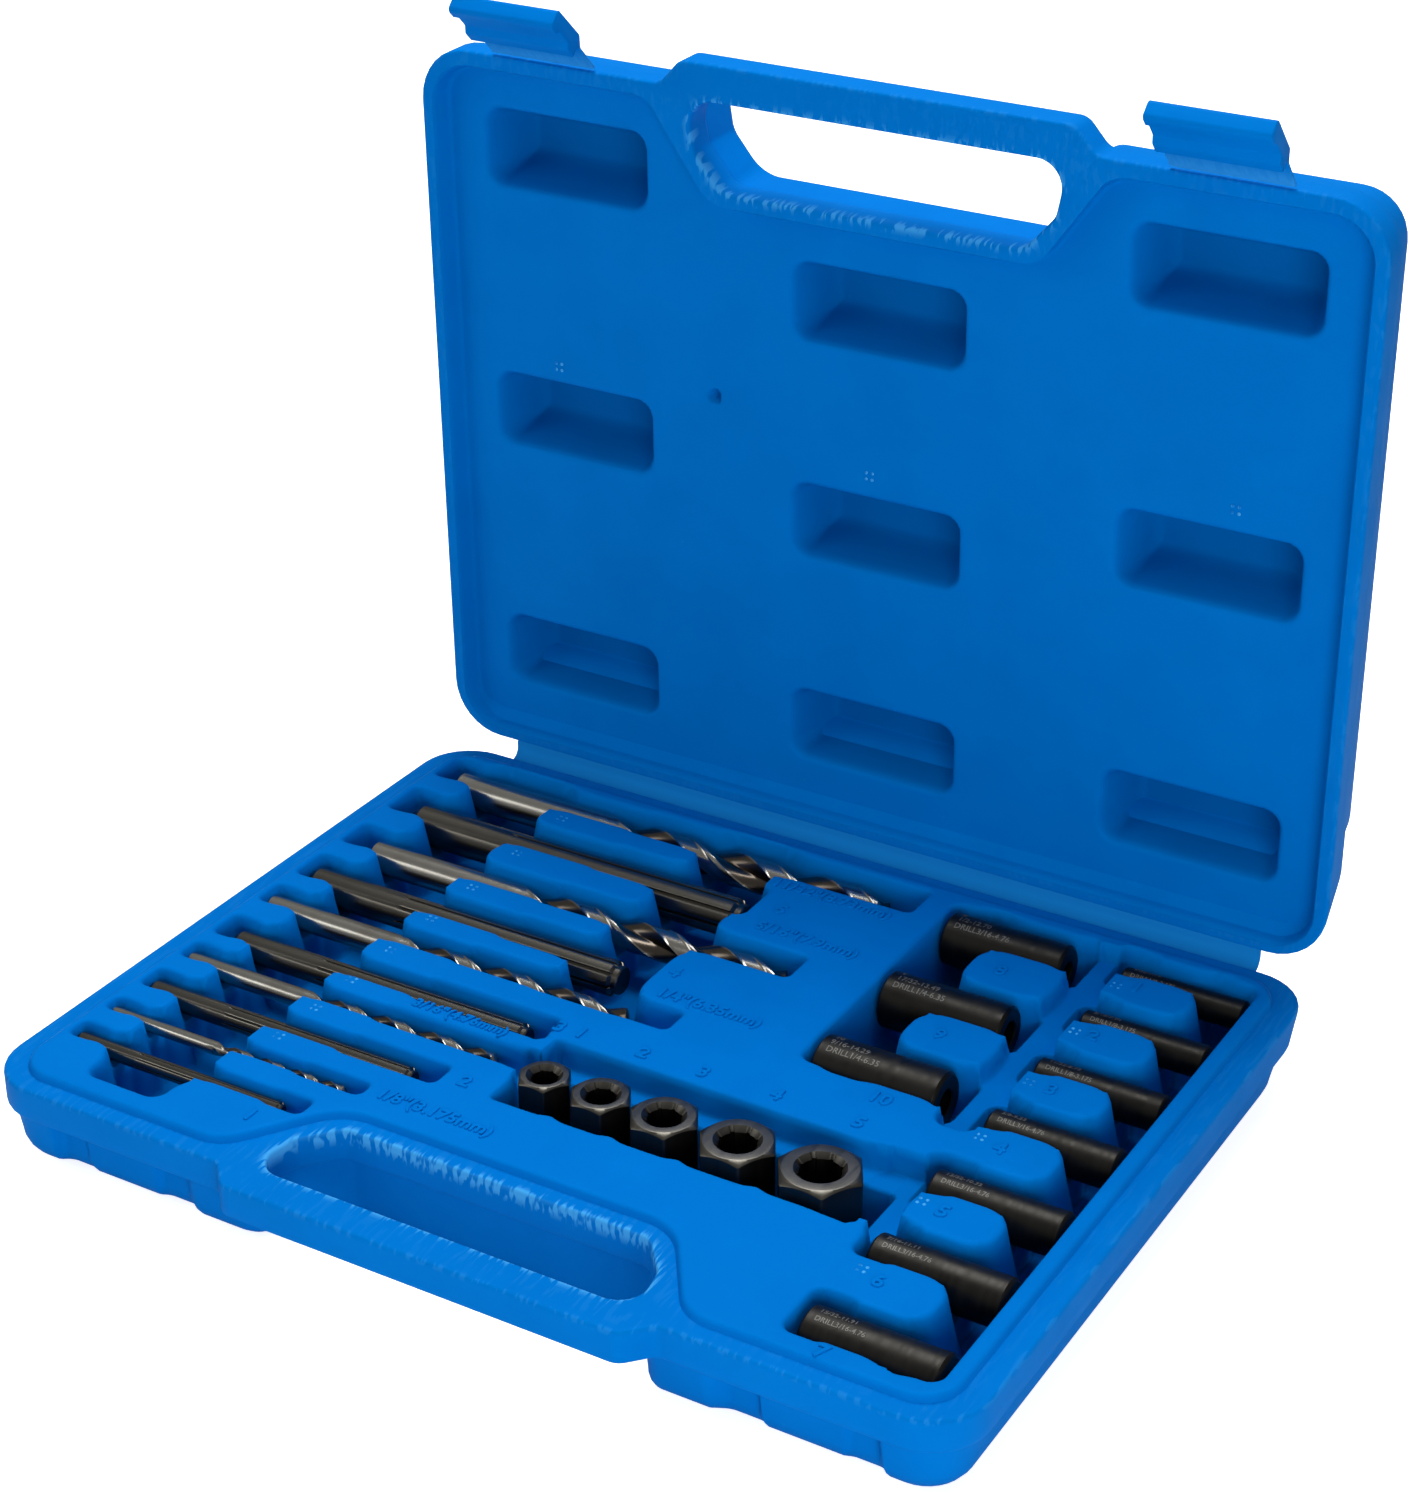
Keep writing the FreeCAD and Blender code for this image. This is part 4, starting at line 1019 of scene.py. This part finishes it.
def eased_copy(node: str, name: str, width: float, segments: int) -> bpy.types.Object:
    """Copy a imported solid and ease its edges.

    Args:
        node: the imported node.
        name: the new piece's name.
        width: how wide each eased edge is, in millimetres.
        segments: faces across each eased edge.

    Returns:
        The new object, not yet dressed.
    """
    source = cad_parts[node]
    shape = bmesh.new()
    shape.from_mesh(source.data)
    shape.transform(source.matrix_world)
    bmesh.ops.remove_doubles(shape, verts=shape.verts, dist=2e-6)
    bmesh.ops.dissolve_limit(shape, angle_limit=math.radians(2), verts=shape.verts, edges=shape.edges)
    edges = [e for e in shape.edges if len(e.link_faces) == 2 and e.calc_face_angle(0) > math.radians(28)]
    bmesh.ops.bevel(
        shape, geom=edges, offset=width * MM, segments=segments, profile=0.5, affect="EDGES", clamp_overlap=True
    )
    mesh = bpy.data.meshes.new(name)
    shape.to_mesh(mesh)
    shape.free()
    finish_mesh(mesh, 30.0)
    return link(name, mesh)


# Tools

@dataclass
class TwistDrill:
    """A two-flute twist drill built from turning cross-sections."""

    rod: Rod
    lead: float = 5.4
    around: int = 72

    def section(self, depth: float) -> tuple[np.ndarray, np.ndarray]:
        """Return the cross-section's radii and marks, for flutes cut to a share of their depth."""
        angle = np.linspace(0, 2 * np.pi, self.around, endpoint=False)
        flute = np.abs((angle + np.pi / 2) % np.pi - np.pi / 2)
        edge = math.radians(56)
        cut = np.clip(flute / edge, 0, 1)
        radii = 0.34 + 0.66 * cut**1.5
        land = (angle % np.pi)
        margin = (land > edge) & (land < edge + math.radians(14))
        radii = np.where((cut >= 1) & ~margin, 0.955, radii)
        marks = np.where(cut < 0.97, 1.0, np.where(margin, 0.0, 0.12))
        return 1 - (1 - radii) * depth, marks * depth

    def build(self) -> bpy.types.Object:
        """Build the drill as one object."""
        rod = self.rod
        radius = rod.diameter / 2
        start = rod.length - rod.fluted
        cone = math.tan(math.radians(59))
        maker = MeshMaker()
        angle = np.linspace(0, 2 * np.pi, self.around, endpoint=False)
        spots = [0.0, 0.35, start - 2.0]
        spots += list(np.arange(start, rod.length - radius / cone, rod.diameter * 0.1))
        spots += list(np.linspace(rod.length - radius / cone, rod.length - 0.02, 8))
        rings = []
        for x in spots:
            share = float(np.clip((x - start) / (rod.diameter * 1.1), 0, 1)) ** 0.6
            radii, marks = self.section(share)
            radii = radii * radius
            if x == 0.0:
                radii = radii - 0.35
            radii = np.minimum(radii, max((rod.length - x) * cone, 0.02))
            turn = angle + max(x - start, 0.0) / (rod.diameter * self.lead) * 2 * np.pi
            ring = np.column_stack([np.full(self.around, x), radii * np.cos(turn), radii * np.sin(turn)])
            rings.append((ring, marks))
        firsts = maker.wall(rings, flip=True)
        maker.faces.append(tuple(range(firsts[0], firsts[0] + self.around)))
        maker.faces.append(tuple(reversed(range(firsts[-1], firsts[-1] + self.around))))
        place = Matrix.Translation(Vector((rod.left, rod.front, ROD_TOP - radius)))
        return maker.build(rod.name + "_body", tray_matrix() @ place, sharp=32.0)


@dataclass
class FlutedExtractor:
    """A straight fluted extractor: a plain chamfered shank, ribs and grooves, and a pilot end."""

    rod: Rod
    grooves: int = 8

    def section(self, depth: float) -> tuple[np.ndarray, np.ndarray, np.ndarray]:
        """Return the cross-section's angles, radii and marks, for grooves cut to a share of their depth."""
        angles, radii, marks = [], [], []
        for number in range(self.grooves):
            centre = number * 2 * np.pi / self.grooves
            for turn, level_at, mark in (
                (-0.13, 1.0, 0.0), (-0.10, 0.99, 0.0), (-0.07, 0.86, 1.0), (0.0, 0.84, 1.0), (0.07, 0.86, 1.0),
                (0.10, 0.99, 0.0), (0.13, 1.0, 0.0), (0.20, 1.0, 0.6), (0.39, 1.0, 0.7), (0.58, 1.0, 0.6),
            ):
                angles.append(centre + turn)
                radii.append(1 - (1 - level_at) * depth)
                marks.append(mark if depth > 0.5 else 0.6)
        return np.array(angles), np.array(radii), np.array(marks)

    def build(self) -> bpy.types.Object:
        """Build the extractor as one object."""
        rod = self.rod
        radius = rod.diameter / 2
        length = rod.length
        start = 0.3 * length
        pilot = length - 0.5 * radius
        stations = [
            (0.0, radius * 0.75, 0.0), (0.4 * radius, radius, 0.0), (start, radius, 0.0), (start + 0.4 * radius, radius, 1.0),
            (pilot, radius, 1.0), (pilot + 0.15 * radius, radius * 0.8, 0.0), (length - 0.3, radius * 0.8, 0.0),
            (length, radius * 0.8 - 0.3, 0.0),
        ]
        maker = MeshMaker()
        rings = []
        for x, size, depth in stations:
            angles, radii, marks = self.section(depth)
            ring = np.column_stack([np.full(len(angles), x), size * radii * np.cos(angles), size * radii * np.sin(angles)])
            rings.append((ring, marks))
        firsts = maker.wall(rings, flip=True)
        count = len(rings[0][0])
        maker.faces.append(tuple(range(firsts[0], firsts[0] + count)))
        maker.faces.append(tuple(reversed(range(firsts[-1], firsts[-1] + count))))
        place = Matrix.Translation(Vector((rod.left, rod.front, ROD_TOP - radius)))
        return maker.build(rod.name + "_body", tray_matrix() @ place, sharp=25.0)


@dataclass
class GuideSleeve:
    """A turned guide sleeve with chamfered ends and a bore."""

    sleeve: Sleeve
    around: int = 96

    def build(self) -> bpy.types.Object:
        """Build the sleeve as one object."""
        radius = self.sleeve.diameter / 2
        bore = self.sleeve.bore / 2 + 0.1
        length = SLEEVE_LENGTH
        profile = [
            (0.0, bore + 0.3), (0.0, radius - 0.75), (0.12, radius - 0.62), (0.55, radius - 0.1), (0.75, radius),
            (length - 0.75, radius), (length - 0.55, radius - 0.1), (length - 0.12, radius - 0.62), (length, radius - 0.75),
            (length, bore + 0.3), (length - 0.3, bore), (0.3, bore), (0.0, bore + 0.3),
        ]
        maker = MeshMaker()
        angle = np.linspace(0, 2 * np.pi, self.around, endpoint=False)
        rings = []
        for x, size in profile:
            rings.append((np.column_stack([np.full(self.around, x), size * np.cos(angle), size * np.sin(angle)]), 0.0))
        maker.wall(rings, flip=True)
        left = SLEEVE_LEFT[self.sleeve.spot]
        place = Matrix.Translation(Vector((left, self.sleeve.front, SLEEVE_AXIS)))
        return maker.build(self.sleeve.name + "_body", tray_matrix() @ place, sharp=25.0)


@dataclass
class SleeveLettering:
    """The number and sizes etched along the top of a guide sleeve."""

    sleeve: Sleeve
    lines: tuple[str, ...]
    start: float = 2.4
    size: float = 1.55
    lead: float = 2.4
    turned: float = -0.4

    def build(self) -> bpy.types.Object:
        """Build the lettering as one thin object that hugs the sleeve."""
        radius = self.sleeve.diameter / 2
        meshes = []
        for number, line in enumerate(self.lines):
            mesh = solid_word(line, self.size, 0.02, "LEFT")
            along = (len(self.lines) - 1) / 2 - number
            for vertex in mesh.vertices:
                angle = (vertex.co.y + self.turned + along * self.lead) / radius
                reach = radius + 0.01 + vertex.co.z
                vertex.co = (self.start + vertex.co.x, reach * math.sin(angle), reach * math.cos(angle))
            meshes.append(mesh)
        place = Matrix.Translation(Vector((SLEEVE_LEFT[self.sleeve.spot], self.sleeve.front, SLEEVE_AXIS)))
        return joined(meshes, self.sleeve.name + "_lettering", tray_matrix() @ place, 60.0)


@dataclass
class TurnNut:
    """A turn nut: a hexagon with its corners turned off at both ends, and a countersunk, splined bore."""

    nut: Nut
    height: float = 20.0
    top: float = 4.5
    front: float = 56.8
    splines: int = 8
    around: int = 192

    def hexagon(self, angle: np.ndarray) -> np.ndarray:
        """Return the radius of the six flats at each angle, with slightly eased corners."""
        across = self.nut.flats / 2
        fold = (angle + np.pi / 6) % (np.pi / 3) - np.pi / 6
        return np.minimum(across / np.cos(np.pi / 6 - np.abs(fold)), across / math.cos(math.pi / 6) * 0.985)

    def bore(self, angle: np.ndarray) -> np.ndarray:
        """Return the bore's radius at each angle, with a small groove for each spline."""
        radius = 0.52 * self.nut.flats / 2
        fold = (angle + np.pi / self.splines) % (2 * np.pi / self.splines) - np.pi / self.splines
        return radius * (1 + 0.1 * (1 - step_up(np.abs(fold), 0.08, 0.13)))

    def build(self) -> bpy.types.Object:
        """Build the nut as one object, with its axis upright."""
        angle = np.linspace(0, 2 * np.pi, self.around, endpoint=False)
        side, hole = self.hexagon(angle), self.bore(angle)
        face = 0.95 * self.nut.flats / 2
        sink = np.full(self.around, 0.52 * self.nut.flats / 2 + 1.2)
        fall = (side - face) * math.tan(math.radians(30)) + 0.12
        flat = np.full(self.around, self.height)
        rings = [
            (sink, flat, 0.0), (np.full(self.around, face - 0.25), flat, 0.0), (np.full(self.around, face), flat - 0.05, 0.0),
            (side - 0.12, flat - fall + 0.06, 0.3), (side, flat - fall - 0.08, 1.0), (side, fall + 0.08, 1.0),
            (side - 0.12, fall - 0.06, 1.0), (np.full(self.around, face), flat * 0, 1.0), (sink, flat * 0, 1.0),
            (hole, flat * 0 + 0.9, 1.0), (hole, flat - 1.1, 1.0), (sink, flat, 0.0),
        ]
        maker = MeshMaker()
        walls = []
        for radii, heights, mark in rings:
            walls.append((np.column_stack([radii * np.cos(angle), radii * np.sin(angle), heights]), mark))
        maker.wall(walls, flip=False)
        place = Matrix.Translation(Vector((self.nut.left, self.front, self.top - self.height)))
        return maker.build(self.nut.name + "_body", tray_matrix() @ place, sharp=24.0)


@dataclass
class ToolSet:
    """All 25 tools."""

    def build(self, finishes: "Finishes") -> None:
        """Build and dress every tool."""
        for rod in DRILLS:
            self.settle(TwistDrill(rod).build(), rod.name, "drill_steel", finishes.drill)
        for rod in EXTRACTORS:
            self.settle(FlutedExtractor(rod).build(), rod.name, "extractor_steel", finishes.extractor)
        for number, sleeve in enumerate(SLEEVES, start=1):
            self.settle(GuideSleeve(sleeve).build(), sleeve.name, "sleeve_steel", finishes.sleeve)
            outer = OUTER_SIZES[number - 1]
            drill = DRILL_SIZES[sleeve.bore]
            lines = ("%d" % number, "%s-%.2f" % (outer, sleeve.diameter), "DRILL%s-%s" % (drill, sleeve.bore))
            if sleeve.spot is Spot.COLUMN:
                lines = ("%s-%.2f" % (outer, sleeve.diameter), "DRILL%s-%s" % (drill, sleeve.bore))
            letters = SleeveLettering(sleeve, lines, size=1.55 if sleeve.spot is Spot.BAY else 1.2).build()
            self.settle(letters, sleeve.name, "sleeve_steel", finishes.etched)
        for nut in NUTS:
            self.settle(TurnNut(nut).build(), nut.name, "nut_steel", finishes.nut)

    def settle(self, piece: bpy.types.Object, body: str, slot: str, material: bpy.types.Material) -> None:
        """Dress one tool and make it stand for its solid."""
        dress(piece, material)
        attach(piece, body)
        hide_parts(body)
        LOG.info("%s: %d faces", piece.name, len(piece.data.polygons))


# Finishes

Socket = bpy.types.NodeSocket
Colour = tuple[float, float, float, float]


class NodeBook:
    """A short way to add and join nodes in one tree."""

    def __init__(self, tree: bpy.types.NodeTree) -> None:
        """Keep the tree."""
        self.tree = tree

    def add(self, kind: str, **settings: object) -> bpy.types.Node:
        """Add a node and set its properties."""
        node = self.tree.nodes.new(kind)
        for key, value in settings.items():
            setattr(node, key, value)
        return node

    def feed(self, target: Socket, source: object) -> None:
        """Join a socket to a target, or set the target's value."""
        if isinstance(source, bpy.types.NodeSocket):
            self.tree.links.new(source, target)
        else:
            target.default_value = source

    def math(self, operation: str, a: object, b: object = 0.0, clamp: bool = False) -> Socket:
        """Add a Math node and return its result."""
        node = self.add("ShaderNodeMath", operation=operation, use_clamp=clamp)
        self.feed(node.inputs[0], a)
        self.feed(node.inputs[1], b)
        return node.outputs[0]

    def noise(self, vector: Socket, scale: float, detail: float = 3.0, rough: float = 0.5) -> Socket:
        """Add a Noise Texture and return its value."""
        node = self.add("ShaderNodeTexNoise")
        self.feed(node.inputs["Vector"], vector)
        self.feed(node.inputs["Scale"], scale)
        self.feed(node.inputs["Detail"], detail)
        self.feed(node.inputs["Roughness"], rough)
        return node.outputs["Fac"]

    def spread(self, value: Socket, low: float, high: float, out_low: float = 0.0, out_high: float = 1.0) -> Socket:
        """Map a range of a value onto another and clamp it."""
        node = self.add("ShaderNodeMapRange", clamp=True)
        for spot, source in zip(("Value", "From Min", "From Max", "To Min", "To Max"), (value, low, high, out_low, out_high)):
            self.feed(node.inputs[spot], source)
        return node.outputs["Result"]

    def mix(self, share: object, a: object, b: object) -> Socket:
        """Mix two colours and return the result."""
        node = self.add("ShaderNodeMix", data_type="RGBA")
        self.feed(node.inputs[0], share)
        self.feed(node.inputs[6], a)
        self.feed(node.inputs[7], b)
        return node.outputs[2]

    def stretched(self, vector: Socket, scale: tuple[float, float, float]) -> Socket:
        """Scale a vector along each axis."""
        node = self.add("ShaderNodeMapping")
        self.feed(node.inputs["Vector"], vector)
        node.inputs["Scale"].default_value = scale
        return node.outputs["Vector"]


def group(name: str, inputs: dict[str, tuple[str, object]], outputs: dict[str, str]) -> tuple[bpy.types.NodeTree, NodeBook, bpy.types.Node, bpy.types.Node]:
    """Start a shader node group with named sockets.

    Args:
        name: the group's name.
        inputs: each input's socket type and default value.
        outputs: each output's socket type.

    Returns:
        The tree, its book, its input node and its output node.
    """
    tree = bpy.data.node_groups.new(name, "ShaderNodeTree")
    for label, (kind, value) in inputs.items():
        socket = tree.interface.new_socket(label, in_out="INPUT", socket_type=kind)
        if value is not None:
            socket.default_value = value
    for label, kind in outputs.items():
        tree.interface.new_socket(label, in_out="OUTPUT", socket_type=kind)
    book = NodeBook(tree)
    return tree, book, book.add("NodeGroupInput"), book.add("NodeGroupOutput")


def grain_group() -> bpy.types.NodeTree:
    """Build the fine grain and faint mottling of blow-moulded plastic."""
    tree, book, given, result = group(
        "moulded_grain",
        {"Vector": ("NodeSocketVector", None), "Grain Scale": ("NodeSocketFloat", 1800.0), "Mottle Scale": ("NodeSocketFloat", 60.0)},
        {
            "Height": "NodeSocketFloat", "Mottle": "NodeSocketFloat", "Scuff": "NodeSocketFloat", "Cuts": "NodeSocketFloat",
        },
    )
    fine = book.add("ShaderNodeTexNoise")
    book.feed(fine.inputs["Vector"], given.outputs["Vector"])
    book.feed(fine.inputs["Scale"], given.outputs["Grain Scale"])
    fine.inputs["Detail"].default_value = 2.0
    broad = book.add("ShaderNodeTexNoise")
    book.feed(broad.inputs["Vector"], given.outputs["Vector"])
    book.feed(broad.inputs["Scale"], given.outputs["Mottle Scale"])
    broad.inputs["Detail"].default_value = 4.0
    scuff = book.noise(book.stretched(given.outputs["Vector"], (1.0, 3.0, 1.0)), 420.0, 5.0, 0.65)
    turned = book.add("ShaderNodeMapping")
    book.feed(turned.inputs["Vector"], given.outputs["Vector"])
    turned.inputs["Rotation"].default_value = (0.0, 0.0, math.radians(38))
    turned.inputs["Scale"].default_value = (1.0, 0.12, 0.3)
    book.feed(result.inputs["Cuts"], book.spread(book.noise(turned.outputs["Vector"], 900.0, 1.0, 0.5), 0.44, 0.56))
    book.feed(result.inputs["Height"], fine.outputs["Fac"])
    book.feed(result.inputs["Mottle"], broad.outputs["Fac"])
    book.feed(result.inputs["Scuff"], book.spread(scuff, 0.66, 0.78))
    return tree


def turned_group() -> bpy.types.NodeTree:
    """Build the fine rings and stains of turned, oiled steel."""
    tree, book, given, result = group(
        "turned_steel",
        {"Vector": ("NodeSocketVector", None), "Ring Scale": ("NodeSocketFloat", 3000.0), "Stain Scale": ("NodeSocketFloat", 150.0)},
        {"Rings": "NodeSocketFloat", "Stain": "NodeSocketFloat"},
    )
    rings = book.add("ShaderNodeTexNoise")
    book.feed(rings.inputs["Vector"], book.stretched(given.outputs["Vector"], (1.0, 0.06, 0.06)))
    book.feed(rings.inputs["Scale"], given.outputs["Ring Scale"])
    rings.inputs["Detail"].default_value = 2.0
    stain = book.add("ShaderNodeTexNoise")
    book.feed(stain.inputs["Vector"], given.outputs["Vector"])
    book.feed(stain.inputs["Scale"], given.outputs["Stain Scale"])
    stain.inputs["Detail"].default_value = 5.0
    book.feed(result.inputs["Rings"], rings.outputs["Fac"])
    book.feed(result.inputs["Stain"], stain.outputs["Fac"])
    return tree


def place_group(book: NodeBook, tree: bpy.types.NodeTree, **values: object) -> bpy.types.Node:
    """Place a group in a material with its own values."""
    node = book.add("ShaderNodeGroup", node_tree=tree)
    for key, value in values.items():
        book.feed(node.inputs[key.replace("_", " ")], value)
    return node


@dataclass(frozen=True)
class Plastic:
    """Grained blue plastic, paler where it is trimmed, bent or scuffed, with painted shade that darkens it deep in the
    wells and pockets.
    """

    name: str
    colour: Colour = (0.0, 0.158, 0.545, 1.0)
    deep: Colour = (0.0, 0.132, 0.475, 1.0)
    painted_recess_shade: Colour = (0.0, 0.062, 0.235, 1.0)
    pale: Colour = (0.06, 0.36, 0.74, 1.0)
    paleness: float = 0.8
    strokes: float = 0.85
    roughness: float = 0.46
    grain: float = 0.00004

    def build(self, grain: bpy.types.NodeTree) -> bpy.types.Material:
        """Build the material."""
        material = bpy.data.materials.new(self.name)
        material.use_nodes = True
        book = NodeBook(material.node_tree)
        shader = material.node_tree.nodes["Principled BSDF"]
        coordinates = book.add("ShaderNodeTexCoord").outputs["Object"]
        look = place_group(book, grain, Vector=coordinates)
        wear_and_shade = book.add("ShaderNodeAttribute", attribute_name="wear_and_shade").outputs["Fac"]
        colour = book.mix(look.outputs["Mottle"], self.colour, self.deep)
        # Painted shade: mix towards the dark recess colour where the attribute is negative, deep in the tray's wells
        # and the panel's pockets.
        colour = book.mix(book.spread(wear_and_shade, -1.0, 0.0, 0.6, 0.0), colour, self.painted_recess_shade)
        torn = book.math("SUBTRACT", wear_and_shade, book.math("MULTIPLY", look.outputs["Cuts"], self.strokes))
        share = book.math("MULTIPLY", book.spread(torn, 0.0, 0.8), self.paleness, clamp=True)
        colour = book.mix(share, colour, self.pale)
        colour = book.mix(book.math("MULTIPLY", look.outputs["Scuff"], 0.10), colour, self.pale)
        book.feed(shader.inputs["Base Color"], colour)
        book.feed(shader.inputs["Roughness"], book.spread(look.outputs["Mottle"], 0.2, 0.8, self.roughness - 0.05, self.roughness + 0.07))
        shader.inputs["IOR"].default_value = 1.5
        shader.inputs["Specular IOR Level"].default_value = 0.012
        shader.inputs["Specular Tint"].default_value = (0.05, 0.5, 1.0, 1.0)
        bump = book.add("ShaderNodeBump")
        bump.inputs["Strength"].default_value = 0.5
        bump.inputs["Distance"].default_value = self.grain
        book.feed(bump.inputs["Height"], look.outputs["Height"])
        book.feed(shader.inputs["Normal"], bump.outputs["Normal"])
        return material


@dataclass(frozen=True)
class Steel:
    """Dark oiled or ground steel, lighter where the wear attribute is low."""

    name: str
    bright: Colour
    dark: Colour
    stain: Colour
    rough_bright: float
    rough_dark: float
    ring_scale: float = 900.0
    ring_rough: float = 0.04
    ring_depth: float = 0.00001

    def build(self, turned: bpy.types.NodeTree) -> bpy.types.Material:
        """Build the material."""
        material = bpy.data.materials.new(self.name)
        material.use_nodes = True
        book = NodeBook(material.node_tree)
        shader = material.node_tree.nodes["Principled BSDF"]
        shader.inputs["Metallic"].default_value = 1.0
        coordinates = book.add("ShaderNodeTexCoord").outputs["Object"]
        look = place_group(book, turned, Vector=coordinates, Ring_Scale=self.ring_scale)
        wear_and_shade = book.add("ShaderNodeAttribute", attribute_name="wear_and_shade").outputs["Fac"]
        colour = book.mix(wear_and_shade, self.bright, self.dark)
        colour = book.mix(book.spread(look.outputs["Stain"], 0.5, 0.8, 0.0, 0.4), colour, self.stain)
        book.feed(shader.inputs["Base Color"], colour)
        rough = book.math("ADD", book.spread(wear_and_shade, 0.0, 1.0, self.rough_bright, self.rough_dark), book.spread(look.outputs["Rings"], 0.3, 0.7, -self.ring_rough, self.ring_rough))
        book.feed(shader.inputs["Roughness"], rough)
        bump = book.add("ShaderNodeBump")
        bump.inputs["Strength"].default_value = 0.12
        bump.inputs["Distance"].default_value = self.ring_depth
        book.feed(bump.inputs["Height"], look.outputs["Rings"])
        book.feed(shader.inputs["Normal"], bump.outputs["Normal"])
        return material


class Finishes:
    """Every material of the object."""

    def __init__(self) -> None:
        """Build the shared groups and the materials."""
        grain = grain_group()
        turned = turned_group()
        self.plastic = Plastic("blue_case_plastic").build(grain)
        self.film = Plastic("blue_hinge_film", paleness=0.35, strokes=0.0, pale=(0.02, 0.30, 0.66, 1.0)).build(grain)
        self.latch = Plastic("blue_latch_plastic", paleness=0.5, strokes=0.15, pale=(0.04, 0.32, 0.72, 1.0)).build(grain)
        self.drill = Steel("ground_drill_steel", (0.34, 0.33, 0.295, 1), (0.09, 0.075, 0.06, 1), (0.20, 0.17, 0.13, 1), 0.22, 0.25, ring_rough=0.0, ring_depth=0.0).build(turned)
        self.extractor = Steel("oiled_extractor_steel", (0.19, 0.18, 0.155, 1), (0.055, 0.051, 0.044, 1), (0.07, 0.063, 0.052, 1), 0.24, 0.28, ring_rough=0.0, ring_depth=0.0).build(turned)
        self.sleeve = Steel("oiled_sleeve_steel", (0.024, 0.023, 0.0205, 1), (0.015, 0.0145, 0.013, 1), (0.009, 0.0085, 0.0075, 1), 0.43, 0.46, ring_rough=0.08).build(turned)
        self.etched = Steel("etched_lettering", (0.15, 0.145, 0.13, 1), (0.15, 0.145, 0.13, 1), (0.05, 0.048, 0.042, 1), 0.6, 0.6).build(turned)
        self.nut = Steel("oiled_nut_steel", (0.10, 0.094, 0.08, 1), (0.045, 0.042, 0.037, 1), (0.03, 0.028, 0.024, 1), 0.34, 0.36).build(turned)


# Studio

@dataclass(frozen=True)
class Studio:
    """The floor, the lamps, the world and the camera at the photograph's angle."""

    place: tuple[float, float, float] = (0.31225, -0.50786, 0.40612)
    turn: tuple[float, float, float] = (62.2018, -0.2706, 30.1242)
    lens: float = 75.70
    shift: tuple[float, float] = (-0.0198, 0.0020)
    floor_lift: float = 0.75

    def build(self) -> None:
        """Build the whole studio."""
        self.camera()
        self.floor()
        self.world()
        self.lamp("upper_lamp", (-0.1, 0.3, 1.0), 0.65, 11.4)
        self.lamp("front_lamp", (0.55, -0.68, 0.16), 0.5, 5.6)
        self.lamp("left_lamp", (-0.9, -0.6, 0.6), 0.5, 2.5)

    def camera(self) -> None:
        """Place the camera where the photograph was taken from."""
        data = bpy.data.cameras.new("photo_camera")
        data.sensor_fit = "AUTO"
        data.sensor_width = 36.0
        data.lens = self.lens
        data.shift_x, data.shift_y = self.shift
        camera = bpy.data.objects.new("photo_camera", data)
        camera.location = self.place
        camera.rotation_euler = Euler([math.radians(a) for a in self.turn], "XYZ")
        bpy.context.scene.collection.objects.link(camera)
        bpy.context.scene.camera = camera

    def floor(self) -> None:
        """Lay a plain pale floor that the camera sees as nearly white."""
        mesh = bpy.data.meshes.new("studio_floor")
        size = 4.0
        mesh.from_pydata([(-size, -size, -0.0002), (size, -size, -0.0002), (size, size, -0.0002), (-size, size, -0.0002)], [], [(0, 1, 2, 3)])
        floor = link("studio_floor", mesh)
        material = bpy.data.materials.new("pale_floor")
        material.use_nodes = True
        shader = material.node_tree.nodes["Principled BSDF"]
        shader.inputs["Base Color"].default_value = (0.86, 0.86, 0.87, 1)
        shader.inputs["Roughness"].default_value = 0.8
        shader.inputs["Emission Color"].default_value = (1.0, 1.0, 1.0, 1)
        book = NodeBook(material.node_tree)
        seen = book.add("ShaderNodeLightPath").outputs["Is Camera Ray"]
        reach = book.add("ShaderNodeVectorMath", operation="LENGTH")
        book.feed(reach.inputs[0], book.add("ShaderNodeTexCoord").outputs["Object"])
        lift = book.spread(reach.outputs["Value"], 0.25, 0.6, self.floor_lift, 1.0)
        book.feed(shader.inputs["Emission Strength"], book.math("MULTIPLY", seen, lift))
        dress(floor, material)

    def world(self) -> None:
        """Light the object softly, and show white behind it."""
        world = bpy.data.worlds.new("studio_world")
        world.use_nodes = True
        bpy.context.scene.world = world
        book = NodeBook(world.node_tree)
        background = world.node_tree.nodes["Background"]
        path = book.add("ShaderNodeLightPath")
        book.feed(background.inputs["Color"], (1.0, 1.0, 1.0, 1.0))
        direction = book.add("ShaderNodeTexCoord").outputs["Generated"]
        split = book.add("ShaderNodeSeparateXYZ")
        book.feed(split.inputs["Vector"], direction)
        sky = book.spread(split.outputs["Z"], 0.0, 0.9, 0.15, 0.32)
        seen = book.math("MAXIMUM", sky, path.outputs["Is Camera Ray"])
        book.feed(background.inputs["Strength"], seen)

    def lamp(self, name: str, place: tuple[float, float, float], size: float, power: float) -> None:
        """Hang one soft square lamp that faces the object."""
        data = bpy.data.lights.new(name, "AREA")
        data.shape = "SQUARE"
        data.size = size
        data.energy = power
        lamp = bpy.data.objects.new(name, data)
        lamp.location = place
        lamp.rotation_euler = (Vector((0, 0, 0.05)) - Vector(place)).to_track_quat("-Z", "Y").to_euler()
        bpy.context.scene.collection.objects.link(lamp)


def main() -> None:
    """Build every class in order and report each piece."""
    logging.basicConfig(level=logging.INFO)
    bpy.context.scene.view_settings.view_transform = "Standard"
    finishes = Finishes()
    Case().build(finishes)
    ToolSet().build(finishes)
    Studio().build()


if __name__ == "__main__":
    main()
